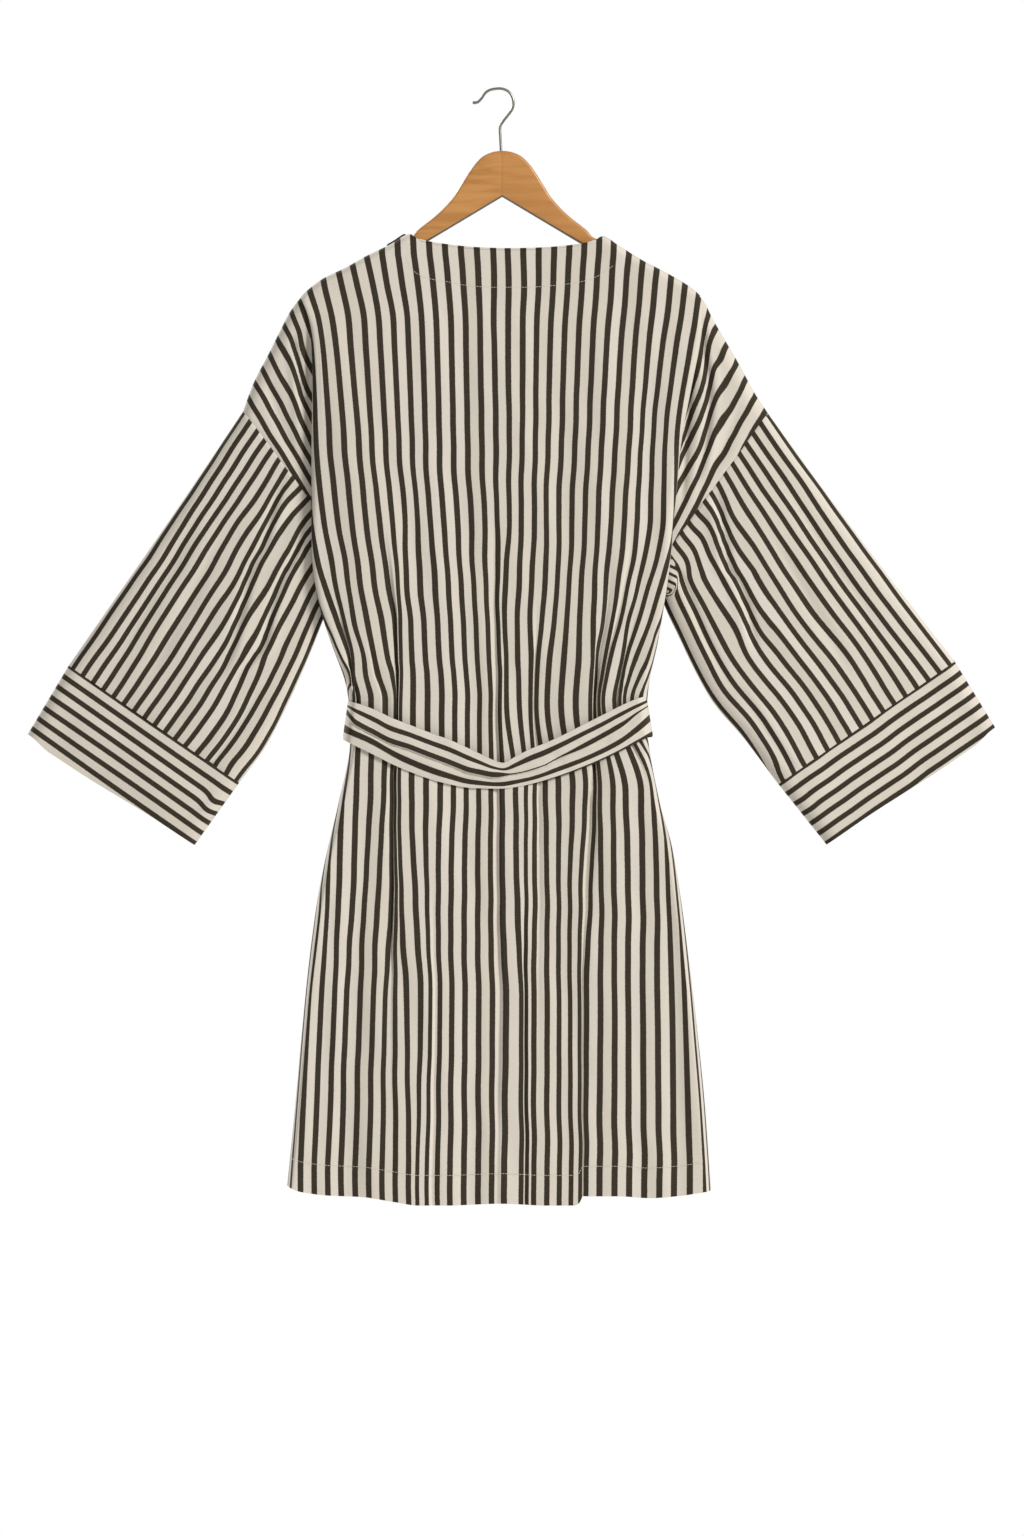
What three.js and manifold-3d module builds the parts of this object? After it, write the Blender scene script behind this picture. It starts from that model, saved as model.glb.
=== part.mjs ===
// A knee-length wrap robe of striped cloth with wide drop-shoulder sleeves, deep cuffs and a tied belt,
// hanging from a wooden hanger.  Millimetres, +Z up.  The origin is the inner top of the hanger's hook,
// where a rail or a peg holds it.  The robe's back faces -Y and its wrapped front faces +Y, so -X is the
// wearer's left.  Every cloth piece is a thin closed wall, 0.3 mm clear of the pieces it is sewn to.
import * as THREE from "three";
import { mergeVertices } from "three/addons/utils/BufferGeometryUtils.js";
import Module from "manifold-3d";

const wasm = await Module();
wasm.setup();
const { smoothstep, degToRad, lerp } = THREE.MathUtils;

// ---------- driving sizes ----------
const cloth = 1.6; // thickness of a cloth wall
const seamGap = 0.3; // between two pieces that are sewn together
const hookOffset = 4; // the tables' middle line stands this far to the right of the hook's inner top
const woodDepth = 12; // front to back
const woodMiddle = 1.3;
const wireRadius = 1.5; // the hook's wire
const beltWall = 2.2; // a folded and stitched strip
const edgeRound = 7; // how far in the side of the body starts to turn
const shoulderDrops = [0, 1.5, 4.5, 9]; // rows of the body where the cloth rounds over the hanger
const frontLap = 3.2; // the wearer's left front lies this far outside the right one
const neckMiddle = 6;
const neckHalf = 105;
const armSlope = 0.75; // the hanger's arms beside the neck
const sleeveDepth = 10.6; // each side of the middle plane
const sleeveBulge = 4; // more, half-way down the sleeve
const sleeveRound = 16; // how far in a sleeve's fold starts to round

const rowsOf = (names, rows) =>
  rows.map((row) => Object.fromEntries(names.split(" ").map((name, i) => [name, row[i]])));

// The body down from the neck.  left and right are its side edges, back and front how far each side stands
// off the middle plane, tuck where the turned-in edge ends and turn the angle it turns through.
const body = rowsOf("z left right back front tuck turn", [
  [-160, -213, 217, 11.2, 11.2, 9.6, 50],
  [-222, -212, 218, 11.2, 11.2, 9.6, 50],
  [-262, -208, 221, 16, 16, 9.6, 80],
  [-319, -207, 211, 21, 20, 9.6, 130],
  [-396, -208, 197, 24, 21, 9.6, 158],
  [-440, -208, 193, 25.5, 21.5, 9.8, 165],
  [-478, -208, 189, 26, 22, 13.6, 165],
  [-517, -207, 186, 26, 22, 13.6, 165],
  [-561, -201, 180, 25, 22, 13.6, 160],
  [-580, -196, 177, 24, 21.5, 11, 145],
  [-605, -188, 173, 23, 21, 0.15, 90],
  [-660, -169.5, 162, 20, 18, 0.15, 90],
  [-690, -166, 160, 18.5, 17.5, 0.15, 90],
  [-715, -166, 162, 18, 17, 0.15, 90],
  [-781, -178, 174, 21, 20, 0.15, 90],
  [-836, -191, 189, 24, 22, 0.15, 90],
  [-891, -202, 198, 26, 24, 0.15, 90],
  [-975, -213, 209, 28, 26, 0.15, 90],
  [-1036, -219, 216, 29, 27, 0.15, 90],
  [-1113, -226, 224, 30, 28, 0.15, 90],
  [-1225, -237, 232, 32, 30, 0.15, 90],
]);

// The shoulders with the neck between them, and the hem, from left to right.
const topEdge = rowsOf("x z", [
  [-220, -227], [-212, -218], [-195, -207], [-172, -196], [-147, -182], [-123, -170.5], [-99, -158.5],
  [-94, -163], [-80, -167.8], [-64, -170.5], [-44, -173], [-24, -174.6], [9, -175.6], [40, -175],
  [64, -173.5], [78, -172], [97, -168.5], [106, -164.5], [111, -160.5], [129, -171], [155, -187],
  [178, -199], [201, -212], [216, -223], [222, -231],
]);
const hem = rowsOf("x z", [
  [-237, -1203], [-220, -1210], [-192, -1214], [-150, -1216], [-118, -1221], [-90, -1225], [-56, -1225],
  [0, -1223], [50, -1225], [80, -1225], [88, -1222], [94, -1215], [128, -1215], [162, -1217],
  [192, -1215], [232, -1209],
]);

// Folds hanging in the back and in the fronts: where each runs at a height, and how deep.
const backFolds = [
  rowsOf("z x depth", [[-430, -109, 0], [-540, -111, 3], [-660, -110, 6], [-715, -111, 3], [-781, -116, 8],
    [-891, -114, 7], [-1036, -121, 3], [-1225, -124, 1.5]]),
  rowsOf("z x depth", [[-430, -66, 0], [-836, -66, 0], [-950, -72, 4], [-1113, -79, 6], [-1225, -84, 6]]),
  rowsOf("z x depth", [[-430, -6, 0], [-560, -6, 4], [-700, -5, 6], [-800, -4, 6], [-1113, -4, 4],
    [-1225, -4, 3]]),
  rowsOf("z x depth", [[-430, 34, 0], [-560, 35, 2], [-640, 36, 6], [-715, 35, 4], [-820, 31, 7],
    [-950, 30, 5], [-1060, 30, 1], [-1225, 30, 0.5]]),
  rowsOf("z x depth", [[-430, 112, 0], [-560, 116, 5], [-650, 106, 8], [-715, 101, 4], [-781, 95, 10],
    [-850, 89, 10], [-975, 87, 8], [-1225, 88, 7]]),
];
const lapFolds = [
  rowsOf("z x depth", [[-600, -38, 0], [-680, -40, 3], [-780, -42, 5], [-960, -44, 4], [-1225, -48, 3]]),
  rowsOf("z x depth", [[-600, 12, 0], [-700, 12, 3], [-800, 13, 5], [-980, 15, 4], [-1225, 18, 3]]),
];
const leftFrontFolds = [
  rowsOf("z x depth", [[-300, -150, 0], [-560, -142, 5], [-680, -122, 6], [-800, -130, 7], [-1000, -148, 6],
    [-1225, -160, 4]]),
  ...lapFolds,
];
const rightFrontFolds = [
  ...lapFolds,
  rowsOf("z x depth", [[-300, 152, 0], [-560, 142, 5], [-680, 126, 6], [-800, 134, 7], [-1000, 150, 6],
    [-1225, 160, 4]]),
];

// How the other rows of the body are shared out down its height: closer together round the waist.
const rowSpread = rowsOf("row height", [[0, 0], [0.2, 0.17], [0.45, 0.4], [0.72, 0.61], [1, 1]]);

// The free edge of a front, from the neck down across the middle to the far side and to the hem.
const frontEdge = rowsOf("z across", [
  [-160, -105], [-230, -90], [-320, -62], [-420, -26], [-520, 12], [-620, 44], [-715, 60], [-860, 66],
  [-1040, 70], [-1225, 74],
]);

// The sleeves.  cap is the drop shoulder: its outer fold and its inner edge, under the side of the body.
// top and under are the sleeve's two folds, from the armhole to the cuff, and cuff the cuff's far corners.
const sleeves = {
  left: {
    capTop: rowsOf("x z", [[-206, -216], [-218, -226], [-232, -244], [-243, -265], [-256, -291], [-272, -322],
      [-284, -354]]),
    capEnd: rowsOf("x z", [[-176, -256], [-167, -509]]),
    top: rowsOf("x z", [[-284, -354], [-350, -452], [-475.5, -633]]),
    under: rowsOf("x z", [[-167, -509], [-186, -557], [-200, -594], [-216, -634], [-235, -676], [-259, -722],
      [-288, -762]]),
    cuff: rowsOf("x z", [[-520.5, -708.5], [-337, -830.5]]),
    crease: rowsOf("t c depth", [[0, 0.46, 5], [0.3, 0.58, 6], [0.6, 0.66, 4], [1, 0.78, 1]]),
  },
  right: {
    capTop: rowsOf("x z", [[208, -218], [222, -231], [233, -252], [244, -271], [262, -302], [280, -335],
      [294, -356]]),
    capEnd: rowsOf("x z", [[182, -258], [167, -531]]),
    top: rowsOf("x z", [[294, -356], [358, -444], [426, -534.5], [499, -628.5]]),
    under: rowsOf("x z", [[167, -531], [181, -570], [195, -600], [213, -638], [233, -673], [267, -713],
      [305, -763.5]]),
    cuff: rowsOf("x z", [[543.5, -701], [358, -830]]),
    crease: rowsOf("t c depth", [[0, 0.5, 5], [0.3, 0.6, 7], [0.6, 0.68, 4], [1, 0.8, 1]]),
  },
};

// The belt's top and bottom edges across the back and the front, and how far it stands off the middle plane.
const belt = {
  back: rowsOf("x top bottom", [
    [-171, -672, -710], [-140, -682.5, -728], [-93, -700, -752.5], [-55, -715, -765], [-20, -731, -768.5],
    [-4, -738.5, -768.5], [4, -738.5, -768], [22, -731, -764], [50, -718, -758], [84, -702, -745],
    [122, -685, -727], [167, -666.5, -712],
  ]),
  front: rowsOf("x top bottom", [
    [-171, -672, -710], [-110, -682, -722], [-30, -692, -732], [0, -694, -734], [30, -692, -732],
    [110, -680, -720], [167, -666.5, -712],
  ]),
  depth: [24.5, 25],
};
const beltCorner = 10;
const knot = { x: 2, out: 33.3, z: -714, wide: 20, deep: 8, high: 19 };
const tailWidth = 38;
const tails = {
  left: rowsOf("z x out", [[-733.2, -9, 32], [-770, -15, 31], [-850, -22, 34], [-960, -28, 36.5],
    [-1096, -34, 38]]),
  right: rowsOf("z x out", [[-733.2, 13, 32], [-775, 20, 31], [-860, 27, 34.5], [-980, 32, 37], [-1128, 36, 39]]),
};

// One half of the hanger's outline, from its middle out, and the wire's route from the wood to its tip.
const woodTop = rowsOf("x z", [
  [10.5, -68.5], [21.5, -73.5], [30.5, -82.5], [38, -93], [46, -106], [54, -118.5], [64, -130],
  [75, -140.3], [87, -149.6], [94, -155.5], [99, -161.6], [107, -165.6], [124, -174.6], [153, -190.8], [173, -201.5],
  [190, -211.5], [196, -216.5],
]);
const woodBottom = rowsOf("x z", [[197, -222], [192, -227], [180, -224], [128, -195.5], [87, -169.5]]);
const woodPeak = -67;
const woodNotch = -117.5;
const wireRoute = rowsOf("x z", [
  [0, -84], [0, -68], [-0.6, -54], [-1, -41], [1.6, -35.5], [7, -28.5], [12, -21.5], [13.8, -14.5],
  [12.4, -7.5], [8.5, -2], [2.5, 1], [-4, 1.5], [-12, 0], [-17.5, -3.6], [-22, -9.8], [-26, -13.6],
  [-31.5, -14],
]);

// ---------- curves and walls ----------
// A curve through one column of a table, read at any value of another, that never overshoots its rows.
function through(rows, key, column) {
  const order = [...rows].sort((a, b) => a[key] - b[key]);
  const at = order.map((row) => row[key]);
  const value = order.map((row) => row[column]);
  const rise = (i) => (value[i + 1] - value[i]) / (at[i + 1] - at[i]);
  const slope = at.map((_, i) => {
    if (i === 0) return rise(0);
    if (i === at.length - 1) return rise(i - 1);
    const [before, after] = [rise(i - 1), rise(i)];
    return before * after <= 0 ? 0 : (2 * before * after) / (before + after);
  });
  return (x) => {
    const clamped = Math.min(Math.max(x, at[0]), at.at(-1));
    let i = 0;
    while (i < at.length - 2 && clamped > at[i + 1]) i++;
    const span = at[i + 1] - at[i];
    const t = (clamped - at[i]) / span;
    const climb = value[i + 1] - value[i];
    const [m0, m1] = [slope[i] * span, slope[i + 1] * span];
    return value[i] + t * (m0 + t * (3 * climb - 2 * m0 - m1 + t * (m0 + m1 - 2 * climb)));
  };
}

const spacePoint = ({ x, z }) => new THREE.Vector3(x, 0, z);

// A point at share t of the way along a table of x and z.
function pathOf(rows) {
  const curve = new THREE.CatmullRomCurve3(rows.map(spacePoint), false, "centripetal");
  return (t) => curve.getPointAt(Math.min(Math.max(t, 0), 1));
}

// A closed wall whose outer side is a grid of points.  outward is 1 or -1, by the side of the grid the
// outside lies on.  A round grid closes on itself across.  A wall with a facing keeps to that side of the
// middle plane.
function wall(grid, thickness, outward, { round = false, facing = 0 } = {}) {
  const [rows, columns] = [grid.length, grid[0].length];
  const across = (j) => (round ? (j + columns) % columns : Math.min(Math.max(j, 0), columns - 1));
  const down = (i) => Math.min(Math.max(i, 0), rows - 1);
  const outer = [];
  const inner = [];
  grid.forEach((row, i) =>
    row.forEach((point, j) => {
      const along = new THREE.Vector3().subVectors(row[across(j + 1)], row[across(j - 1)]);
      const fall = new THREE.Vector3().subVectors(grid[down(i + 1)][j], grid[down(i - 1)][j]);
      const normal = along.cross(fall).normalize();
      const within = point.clone().addScaledVector(normal, -outward * thickness);
      if (facing) within.y = facing * Math.max(facing * within.y, seamGap / 2);
      outer.push(...point.toArray());
      inner.push(...within.toArray());
    }),
  );
  const outerAt = (i, j) => i * columns + across(j);
  const innerAt = (i, j) => rows * columns + outerAt(i, j);
  const faces = [];
  const quad = (a, b, c, d) => faces.push(...(outward > 0 ? [a, b, c, a, c, d] : [a, c, b, a, d, c]));
  const last = round ? columns : columns - 1;
  for (let i = 0; i < rows - 1; i++) {
    for (let j = 0; j < last; j++) {
      quad(outerAt(i, j), outerAt(i, j + 1), outerAt(i + 1, j + 1), outerAt(i + 1, j));
      quad(innerAt(i, j), innerAt(i + 1, j), innerAt(i + 1, j + 1), innerAt(i, j + 1));
    }
  }
  for (let j = 0; j < last; j++) {
    quad(outerAt(0, j), innerAt(0, j), innerAt(0, j + 1), outerAt(0, j + 1));
    quad(outerAt(rows - 1, j), outerAt(rows - 1, j + 1), innerAt(rows - 1, j + 1), innerAt(rows - 1, j));
  }
  for (let i = 0; i < rows - 1 && !round; i++) {
    quad(outerAt(i, 0), outerAt(i + 1, 0), innerAt(i + 1, 0), innerAt(i, 0));
    quad(outerAt(i, last), innerAt(i, last), innerAt(i + 1, last), outerAt(i + 1, last));
  }
  const geometry = new THREE.BufferGeometry();
  geometry.setAttribute("position", new THREE.Float32BufferAttribute([...outer, ...inner], 3));
  geometry.setIndex(faces);
  return geometry;
}

// A closed geometry as a manifold-3d solid, and back.
function solidOf(geometry) {
  const bare = geometry.clone();
  bare.deleteAttribute("normal");
  bare.deleteAttribute("uv");
  const merged = mergeVertices(bare, 1e-4);
  return new wasm.Manifold(
    new wasm.Mesh({
      numProp: 3,
      vertProperties: merged.attributes.position.array,
      triVerts: new Uint32Array(merged.index.array),
    }),
  );
}

function geometryOf(solid) {
  const mesh = solid.getMesh();
  const geometry = new THREE.BufferGeometry();
  geometry.setAttribute("position", new THREE.BufferAttribute(mesh.vertProperties.slice(), 3));
  geometry.setIndex(new THREE.BufferAttribute(mesh.triVerts.slice(), 1));
  return geometry;
}

// Walls that are one cloth, as one body without the pockets that two layers can close between them.
function joined(geometries) {
  const whole = geometries.map(solidOf).reduce((all, one) => all.add(one));
  return geometryOf(whole.decompose().reduce((most, one) => (one.volume() > most.volume() ? one : most)));
}

// ---------- the body ----------
const columnsOf = (rows, key) =>
  Object.fromEntries(Object.keys(rows[0]).map((name) => [name, through(rows, key, name)]));
const bodyAt = columnsOf(body, "z");
const topLine = through(topEdge, "x", "z");
const hemLine = through(hem, "x", "z");
const edgeAt = through(frontEdge, "z", "across");
const foldOffsets = [-8, 0, 14];
const shoulderRound = shoulderDrops.at(-1);
const spreadAt = through(rowSpread, "row", "height");

// How deep the folds are at x on one level: steep on the left side and easy on the right.
function foldDepth(folds, x, z) {
  return folds.reduce((sum, fold) => {
    const away = x - fold.x(z);
    const reach = away < 0 ? 7 : 13;
    return sum + fold.depth(z) * Math.exp(-((away / reach) ** 2));
  }, 0);
}

// The line the cloth rounds over: the shoulders, and up along the hanger's arms inside the neck.
function armLine(x) {
  const away = x - neckMiddle;
  const inside = neckHalf - Math.abs(away);
  return inside > 0 ? topLine(neckMiddle + Math.sign(away) * neckHalf) + armSlope * inside : topLine(x);
}

// Near that line the cloth rounds to the middle plane, where the back meets the fronts.
function overShoulder(x, z, depth) {
  const drop = Math.min(Math.max(armLine(x) - z, 0) / shoulderRound, 1);
  return Math.max(depth * Math.sqrt(1 - (1 - drop) ** 2), seamGap / 2);
}

// Where the columns of a side of the body stand between its two edges, as shares: on the folds, evenly
// between them, and never closer than a small step.
function shareColumns(folds, z, from, to) {
  const step = 0.012;
  const anchors = folds.flatMap((fold) => foldOffsets.map((offset) => (fold.x(z) + offset - from) / (to - from)));
  for (let k = 0; k < anchors.length; k++) anchors[k] = Math.max(anchors[k], (anchors[k - 1] ?? 0) + step);
  for (let k = anchors.length - 1; k >= 0; k--) anchors[k] = Math.min(anchors[k], (anchors[k + 1] ?? 1) - step);
  return [0, ...anchors, 1];
}

// One side of the body as a grid: a turned left edge, the face with its folds, a turned right edge.
// facing is -1 for the back and 1 for the fronts; freeLeft and freeRight are edges that don't turn.
function bodyGrid({ facing, folds, freeLeft, freeRight, lap = 0, rows, between }) {
  const depthName = facing < 0 ? "back" : "front";
  const curves = folds.map((fold) => columnsOf(fold, "z"));
  const turnSteps = 4;
  const places = [];
  const spans = curves.length * foldOffsets.length + 1;
  for (let k = turnSteps; k > 0 && !freeLeft; k--) places.push({ turned: -k / turnSteps });
  for (let span = 0; span < spans; span++) {
    const steps = span % foldOffsets.length === 0 ? between : 1;
    for (let k = 0; k < steps; k++) places.push({ span, share: k / steps });
  }
  places.push({ span: spans - 1, share: 1 });
  for (let k = 1; k <= turnSteps && !freeRight; k++) places.push({ turned: k / turnSteps });

  const at = (place, z) => {
    const turn = degToRad(bodyAt.turn(z));
    const full = bodyAt[depthName](z);
    const from = freeLeft ? freeLeft(z) : bodyAt.left(z) + edgeRound;
    const to = freeRight ? freeRight(z) : bodyAt.right(z) - edgeRound;
    if (place.turned) {
      const angle = turn * Math.abs(place.turned);
      const x = (place.turned < 0 ? from : to) + Math.sign(place.turned) * edgeRound * Math.sin(angle);
      const height = (full - bodyAt.tuck(z)) / (1 - Math.cos(turn));
      return [x, full - height * (1 - Math.cos(angle))];
    }
    const shares = shareColumns(curves, z, from, to);
    const x = lerp(from, to, lerp(shares[place.span], shares[place.span + 1], place.share));
    const behind = lap * (1 - smoothstep(x, 84, 118));
    return [x, full - behind - foldDepth(curves, x, z)];
  };

  const heightAt = (row, x) => {
    if (row < shoulderDrops.length) return topLine(x) - shoulderDrops[row];
    const below = row - shoulderDrops.length + 1;
    return lerp(topLine(x) - shoulderRound, hemLine(x), spreadAt(below / rows));
  };
  return Array.from({ length: shoulderDrops.length + rows }, (_, row) =>
    places.map((place) => {
      let z = -700;
      for (let pass = 0; pass < 12; pass++) z = heightAt(row, at(place, z)[0]);
      const [x, depth] = at(place, z);
      return new THREE.Vector3(x, facing * overShoulder(x, z, depth), z);
    }),
  );
}

// ---------- sleeves and cuffs ----------
// How far a flat sleeve stands off the middle plane, inward from one of its folds.
function roundedDepth(inward, depth) {
  const edge = Math.min(inward / sleeveRound, 1);
  return depth * Math.sqrt(1 - (1 - edge) ** 2);
}

// The drop shoulder, one side of it: beyond the fold over the armhole, out to the sleeve's seam.
function capGrid({ capTop, capEnd }, facing) {
  const [rows, columns] = [9, 9];
  const [top, end] = [pathOf(capTop), pathOf(capEnd)];
  return Array.from({ length: rows + 1 }, (_, i) =>
    Array.from({ length: columns + 1 }, (_, j) => {
      const [from, to] = [top(i / rows), end(i / rows)];
      const c = lerp((j / columns) ** 2, j / columns, 0.3);
      const depth = Math.max(roundedDepth(c * from.distanceTo(to), sleeveDepth), seamGap / 2);
      return from.lerp(to, c).setY(facing * depth);
    }),
  );
}

// A flat tube from one end to the other, in rings round it.
function tubeGrid(top, under, { rows, columns, bulge, crease }) {
  return Array.from({ length: rows + 1 }, (_, i) => {
    const t = i / rows;
    const width = top(t).distanceTo(under(t));
    return Array.from({ length: 2 * columns }, (_, k) => {
      const c = 0.5 - 0.5 * Math.cos((Math.PI * k) / columns);
      const middle = Math.sin(Math.PI * c);
      const full = sleeveDepth + bulge * Math.sin(Math.PI * t) * middle;
      let depth = roundedDepth(Math.min(c, 1 - c) * width, full);
      if (crease) depth -= crease.depth(t) * middle * Math.exp(-(((c - crease.c(t)) / 0.07) ** 2));
      return new THREE.Vector3().lerpVectors(top(t), under(t), c).setY((k < columns ? -1 : 1) * depth);
    });
  });
}

function sleeveGrid({ top, under, crease }) {
  const [topAt, underAt] = [pathOf(top), pathOf(under)];
  const along = topAt(1).sub(topAt(0)).normalize();
  const clear = (point, t) => point.addScaledVector(along, 2 * seamGap * (1 - t));
  return tubeGrid((t) => clear(topAt(t), t), (t) => clear(underAt(t), t), {
    rows: 12,
    columns: 11,
    bulge: sleeveBulge,
    crease: columnsOf(crease, "t"),
  });
}

function cuffGrid({ top, under, cuff }) {
  const apart = (2 * seamGap) / spacePoint(top.at(-1)).distanceTo(spacePoint(cuff[0]));
  const edge = (from, to) => (t) =>
    new THREE.Vector3().lerpVectors(spacePoint(from), spacePoint(to), lerp(apart, 1, t));
  return tubeGrid(edge(top.at(-1), cuff[0]), edge(under.at(-1), cuff[1]), { rows: 3, columns: 12, bulge: 1 });
}

// ---------- the belt ----------
// The band round the waist, over the widest of the body under it.
function beltGrid() {
  const [columns, rows, turn] = [22, 3, 6];
  const edges = [belt.back, belt.front].map((table) => columnsOf(table, "x"));
  const [from, to] = [belt.back[0].x + beltCorner, belt.back.at(-1).x - beltCorner];
  const ring = [];
  const corner = (middle, start) => {
    for (let k = 1; k < turn; k++) {
      const angle = start + (Math.PI * k) / turn;
      const off = Math.cos(angle);
      ring.push({ face: off > 0 ? 0 : 1, x: middle + beltCorner * Math.sin(angle), off });
    }
  };
  for (let k = 0; k <= columns; k++) ring.push({ face: 0, x: lerp(from, to, k / columns), off: 1 });
  corner(to, 0);
  for (let k = columns; k >= 0; k--) ring.push({ face: 1, x: lerp(from, to, k / columns), off: -1 });
  corner(from, Math.PI);
  return Array.from({ length: rows + 1 }, (_, i) =>
    ring.map(({ face, x, off }) => {
      const { top, bottom } = edges[face];
      return new THREE.Vector3(x, -off * belt.depth[face], lerp(top(x), bottom(x), i / rows));
    }),
  );
}

function knotGeometry() {
  return new THREE.SphereGeometry(1, 16, 10)
    .rotateX(Math.PI / 2)
    .scale(knot.wide, knot.deep, knot.high)
    .translate(knot.x, knot.out, knot.z);
}

// A hanging end of the belt: narrow under the knot and cut a little aslant.
function tailGrid(table) {
  const [rows, columns] = [11, 3];
  const { x, out } = columnsOf(table, "z");
  return Array.from({ length: rows + 1 }, (_, i) => {
    const z = lerp(table[0].z, table.at(-1).z, i / rows);
    const width = tailWidth * lerp(0.5, 1, smoothstep(i / rows, 0, 0.25));
    return Array.from({ length: columns + 1 }, (_, j) => {
      const share = j / columns - 0.5;
      const slant = i === rows ? 8 * share : 0;
      return new THREE.Vector3(x(z) + share * width, out(z) + 2 * (0.25 - share * share), z + slant);
    });
  });
}

// ---------- the hanger ----------
function woodGeometry() {
  const right = [...woodTop, ...woodBottom].map(({ x, z }) => new THREE.Vector2(x, z));
  const left = [...right].reverse().map((point) => new THREE.Vector2(-point.x, point.y));
  const shape = new THREE.Shape();
  shape.moveTo(0, woodPeak);
  shape.splineThru(right);
  shape.lineTo(0, woodNotch);
  shape.lineTo(left[0].x, left[0].y);
  shape.splineThru(left.slice(1));
  shape.lineTo(0, woodPeak);
  const bevel = 2.5;
  const geometry = new THREE.ExtrudeGeometry(shape, {
    depth: woodDepth - 2 * bevel,
    bevelThickness: bevel,
    bevelSize: bevel,
    bevelOffset: -bevel,
    bevelSegments: 2,
    curveSegments: 2,
  });
  geometry.translate(0, 0, -woodDepth / 2 + bevel).rotateX(Math.PI / 2).translate(woodMiddle, 0, 0);
  const boreRadius = wireRadius + 1.2 * seamGap;
  const bore = new THREE.CylinderGeometry(boreRadius, boreRadius, 24, 16).rotateX(Math.PI / 2);
  bore.translate(0, 0, wireRoute[0].z + 11.6);
  return geometryOf(solidOf(geometry).subtract(solidOf(bore)));
}

function wireGeometry() {
  const sides = 8;
  const section = new THREE.Shape(
    Array.from({ length: sides }, (_, k) => {
      const angle = (2 * Math.PI * k) / sides;
      return new THREE.Vector2(wireRadius * Math.cos(angle), wireRadius * Math.sin(angle));
    }),
  );
  const extrudePath = new THREE.CatmullRomCurve3(wireRoute.map(spacePoint), false, "centripetal");
  return new THREE.ExtrudeGeometry(section, { extrudePath, steps: 44 });
}

// ---------- the pieces ----------
const striped = new THREE.MeshStandardMaterial({ color: 0xcfc7b9, roughness: 0.92, metalness: 0 });
const wood = new THREE.MeshStandardMaterial({ color: 0xc48f55, roughness: 0.45, metalness: 0 });
const steel = new THREE.MeshStandardMaterial({ color: 0xbab6ab, roughness: 0.25, metalness: 1 });

const kimono = new THREE.Group();

function piece(name, geometry, material) {
  const mesh = new THREE.Mesh(geometry, material);
  mesh.name = name;
  mesh.position.x = hookOffset;
  kimono.add(mesh);
}

// The body's walls, each with the drop shoulders that are cut in one with it.
function bodyPiece(name, grid, sides) {
  const { facing } = grid;
  const caps = sides.map((side) => {
    const outward = side === "left" ? facing : -facing;
    return wall(capGrid(sleeves[side], facing), cloth, outward, { facing });
  });
  piece(name, joined([wall(bodyGrid(grid), cloth, facing, { facing }), ...caps]), striped);
}

bodyPiece("back", { facing: -1, folds: backFolds, rows: 23, between: 2 }, ["left", "right"]);
bodyPiece("front_left", { facing: 1, folds: leftFrontFolds, freeRight: edgeAt, rows: 20, between: 2 }, ["left"]);
const farEdge = (z) => 2 * neckMiddle - edgeAt(z);
bodyPiece(
  "front_right",
  { facing: 1, folds: rightFrontFolds, freeLeft: farEdge, lap: frontLap, rows: 20, between: 2 },
  ["right"],
);

for (const [side, sizes] of Object.entries(sleeves)) {
  const outward = side === "left" ? -1 : 1;
  piece(`sleeve_${side}`, wall(sleeveGrid(sizes), cloth, outward, { round: true }), striped);
  piece(`cuff_${side}`, wall(cuffGrid(sizes), cloth, outward, { round: true }), striped);
}

piece("belt_band", wall(beltGrid(), beltWall, -1, { round: true }), striped);
piece("belt_knot", knotGeometry(), striped);
for (const [side, table] of Object.entries(tails)) {
  piece(`belt_tail_${side}`, wall(tailGrid(table), beltWall, 1), striped);
}
piece("hanger_wood", woodGeometry(), wood);
piece("hanger_hook", wireGeometry(), steel);

export default kimono;
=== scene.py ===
import math
import bmesh
import bpy
import numpy as np
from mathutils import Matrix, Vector
from mathutils.kdtree import KDTree


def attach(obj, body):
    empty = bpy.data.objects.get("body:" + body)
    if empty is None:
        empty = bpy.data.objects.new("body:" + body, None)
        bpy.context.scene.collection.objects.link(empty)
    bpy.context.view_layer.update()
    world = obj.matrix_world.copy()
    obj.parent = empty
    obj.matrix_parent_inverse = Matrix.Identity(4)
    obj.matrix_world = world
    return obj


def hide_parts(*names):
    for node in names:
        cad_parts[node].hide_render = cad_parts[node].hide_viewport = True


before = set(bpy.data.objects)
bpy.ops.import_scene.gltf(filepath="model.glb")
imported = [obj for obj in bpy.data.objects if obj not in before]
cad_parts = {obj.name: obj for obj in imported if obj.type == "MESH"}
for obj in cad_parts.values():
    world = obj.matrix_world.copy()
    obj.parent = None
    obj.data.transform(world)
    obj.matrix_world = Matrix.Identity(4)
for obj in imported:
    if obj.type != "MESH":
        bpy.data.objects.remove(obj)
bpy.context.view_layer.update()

# The wrap robe on its hanger, seen from the back.  The tables are in millimetres, +Z up from the hook's
# inner top; the robe's back faces -Y and its wrapped front +Y.
toMetres = 0.001
hookOffset = 4  # the tables' middle line stands this far to the right of the hook's inner top
pitch = 15.4  # one dark and one light stripe
cloth = {"wall": 1.2, "middleGap": 0.1, "neckMiddle": 6, "neckHalf": 105, "armSlope": 0.75}


# Curves through the tables' points.
def table(names, rows):
    return dict(zip(names.split(), np.array(rows, float).T))


def route(rows):
    return table("x z", rows)


def foldRows(rows):
    return table("z at depth", rows)


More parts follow.
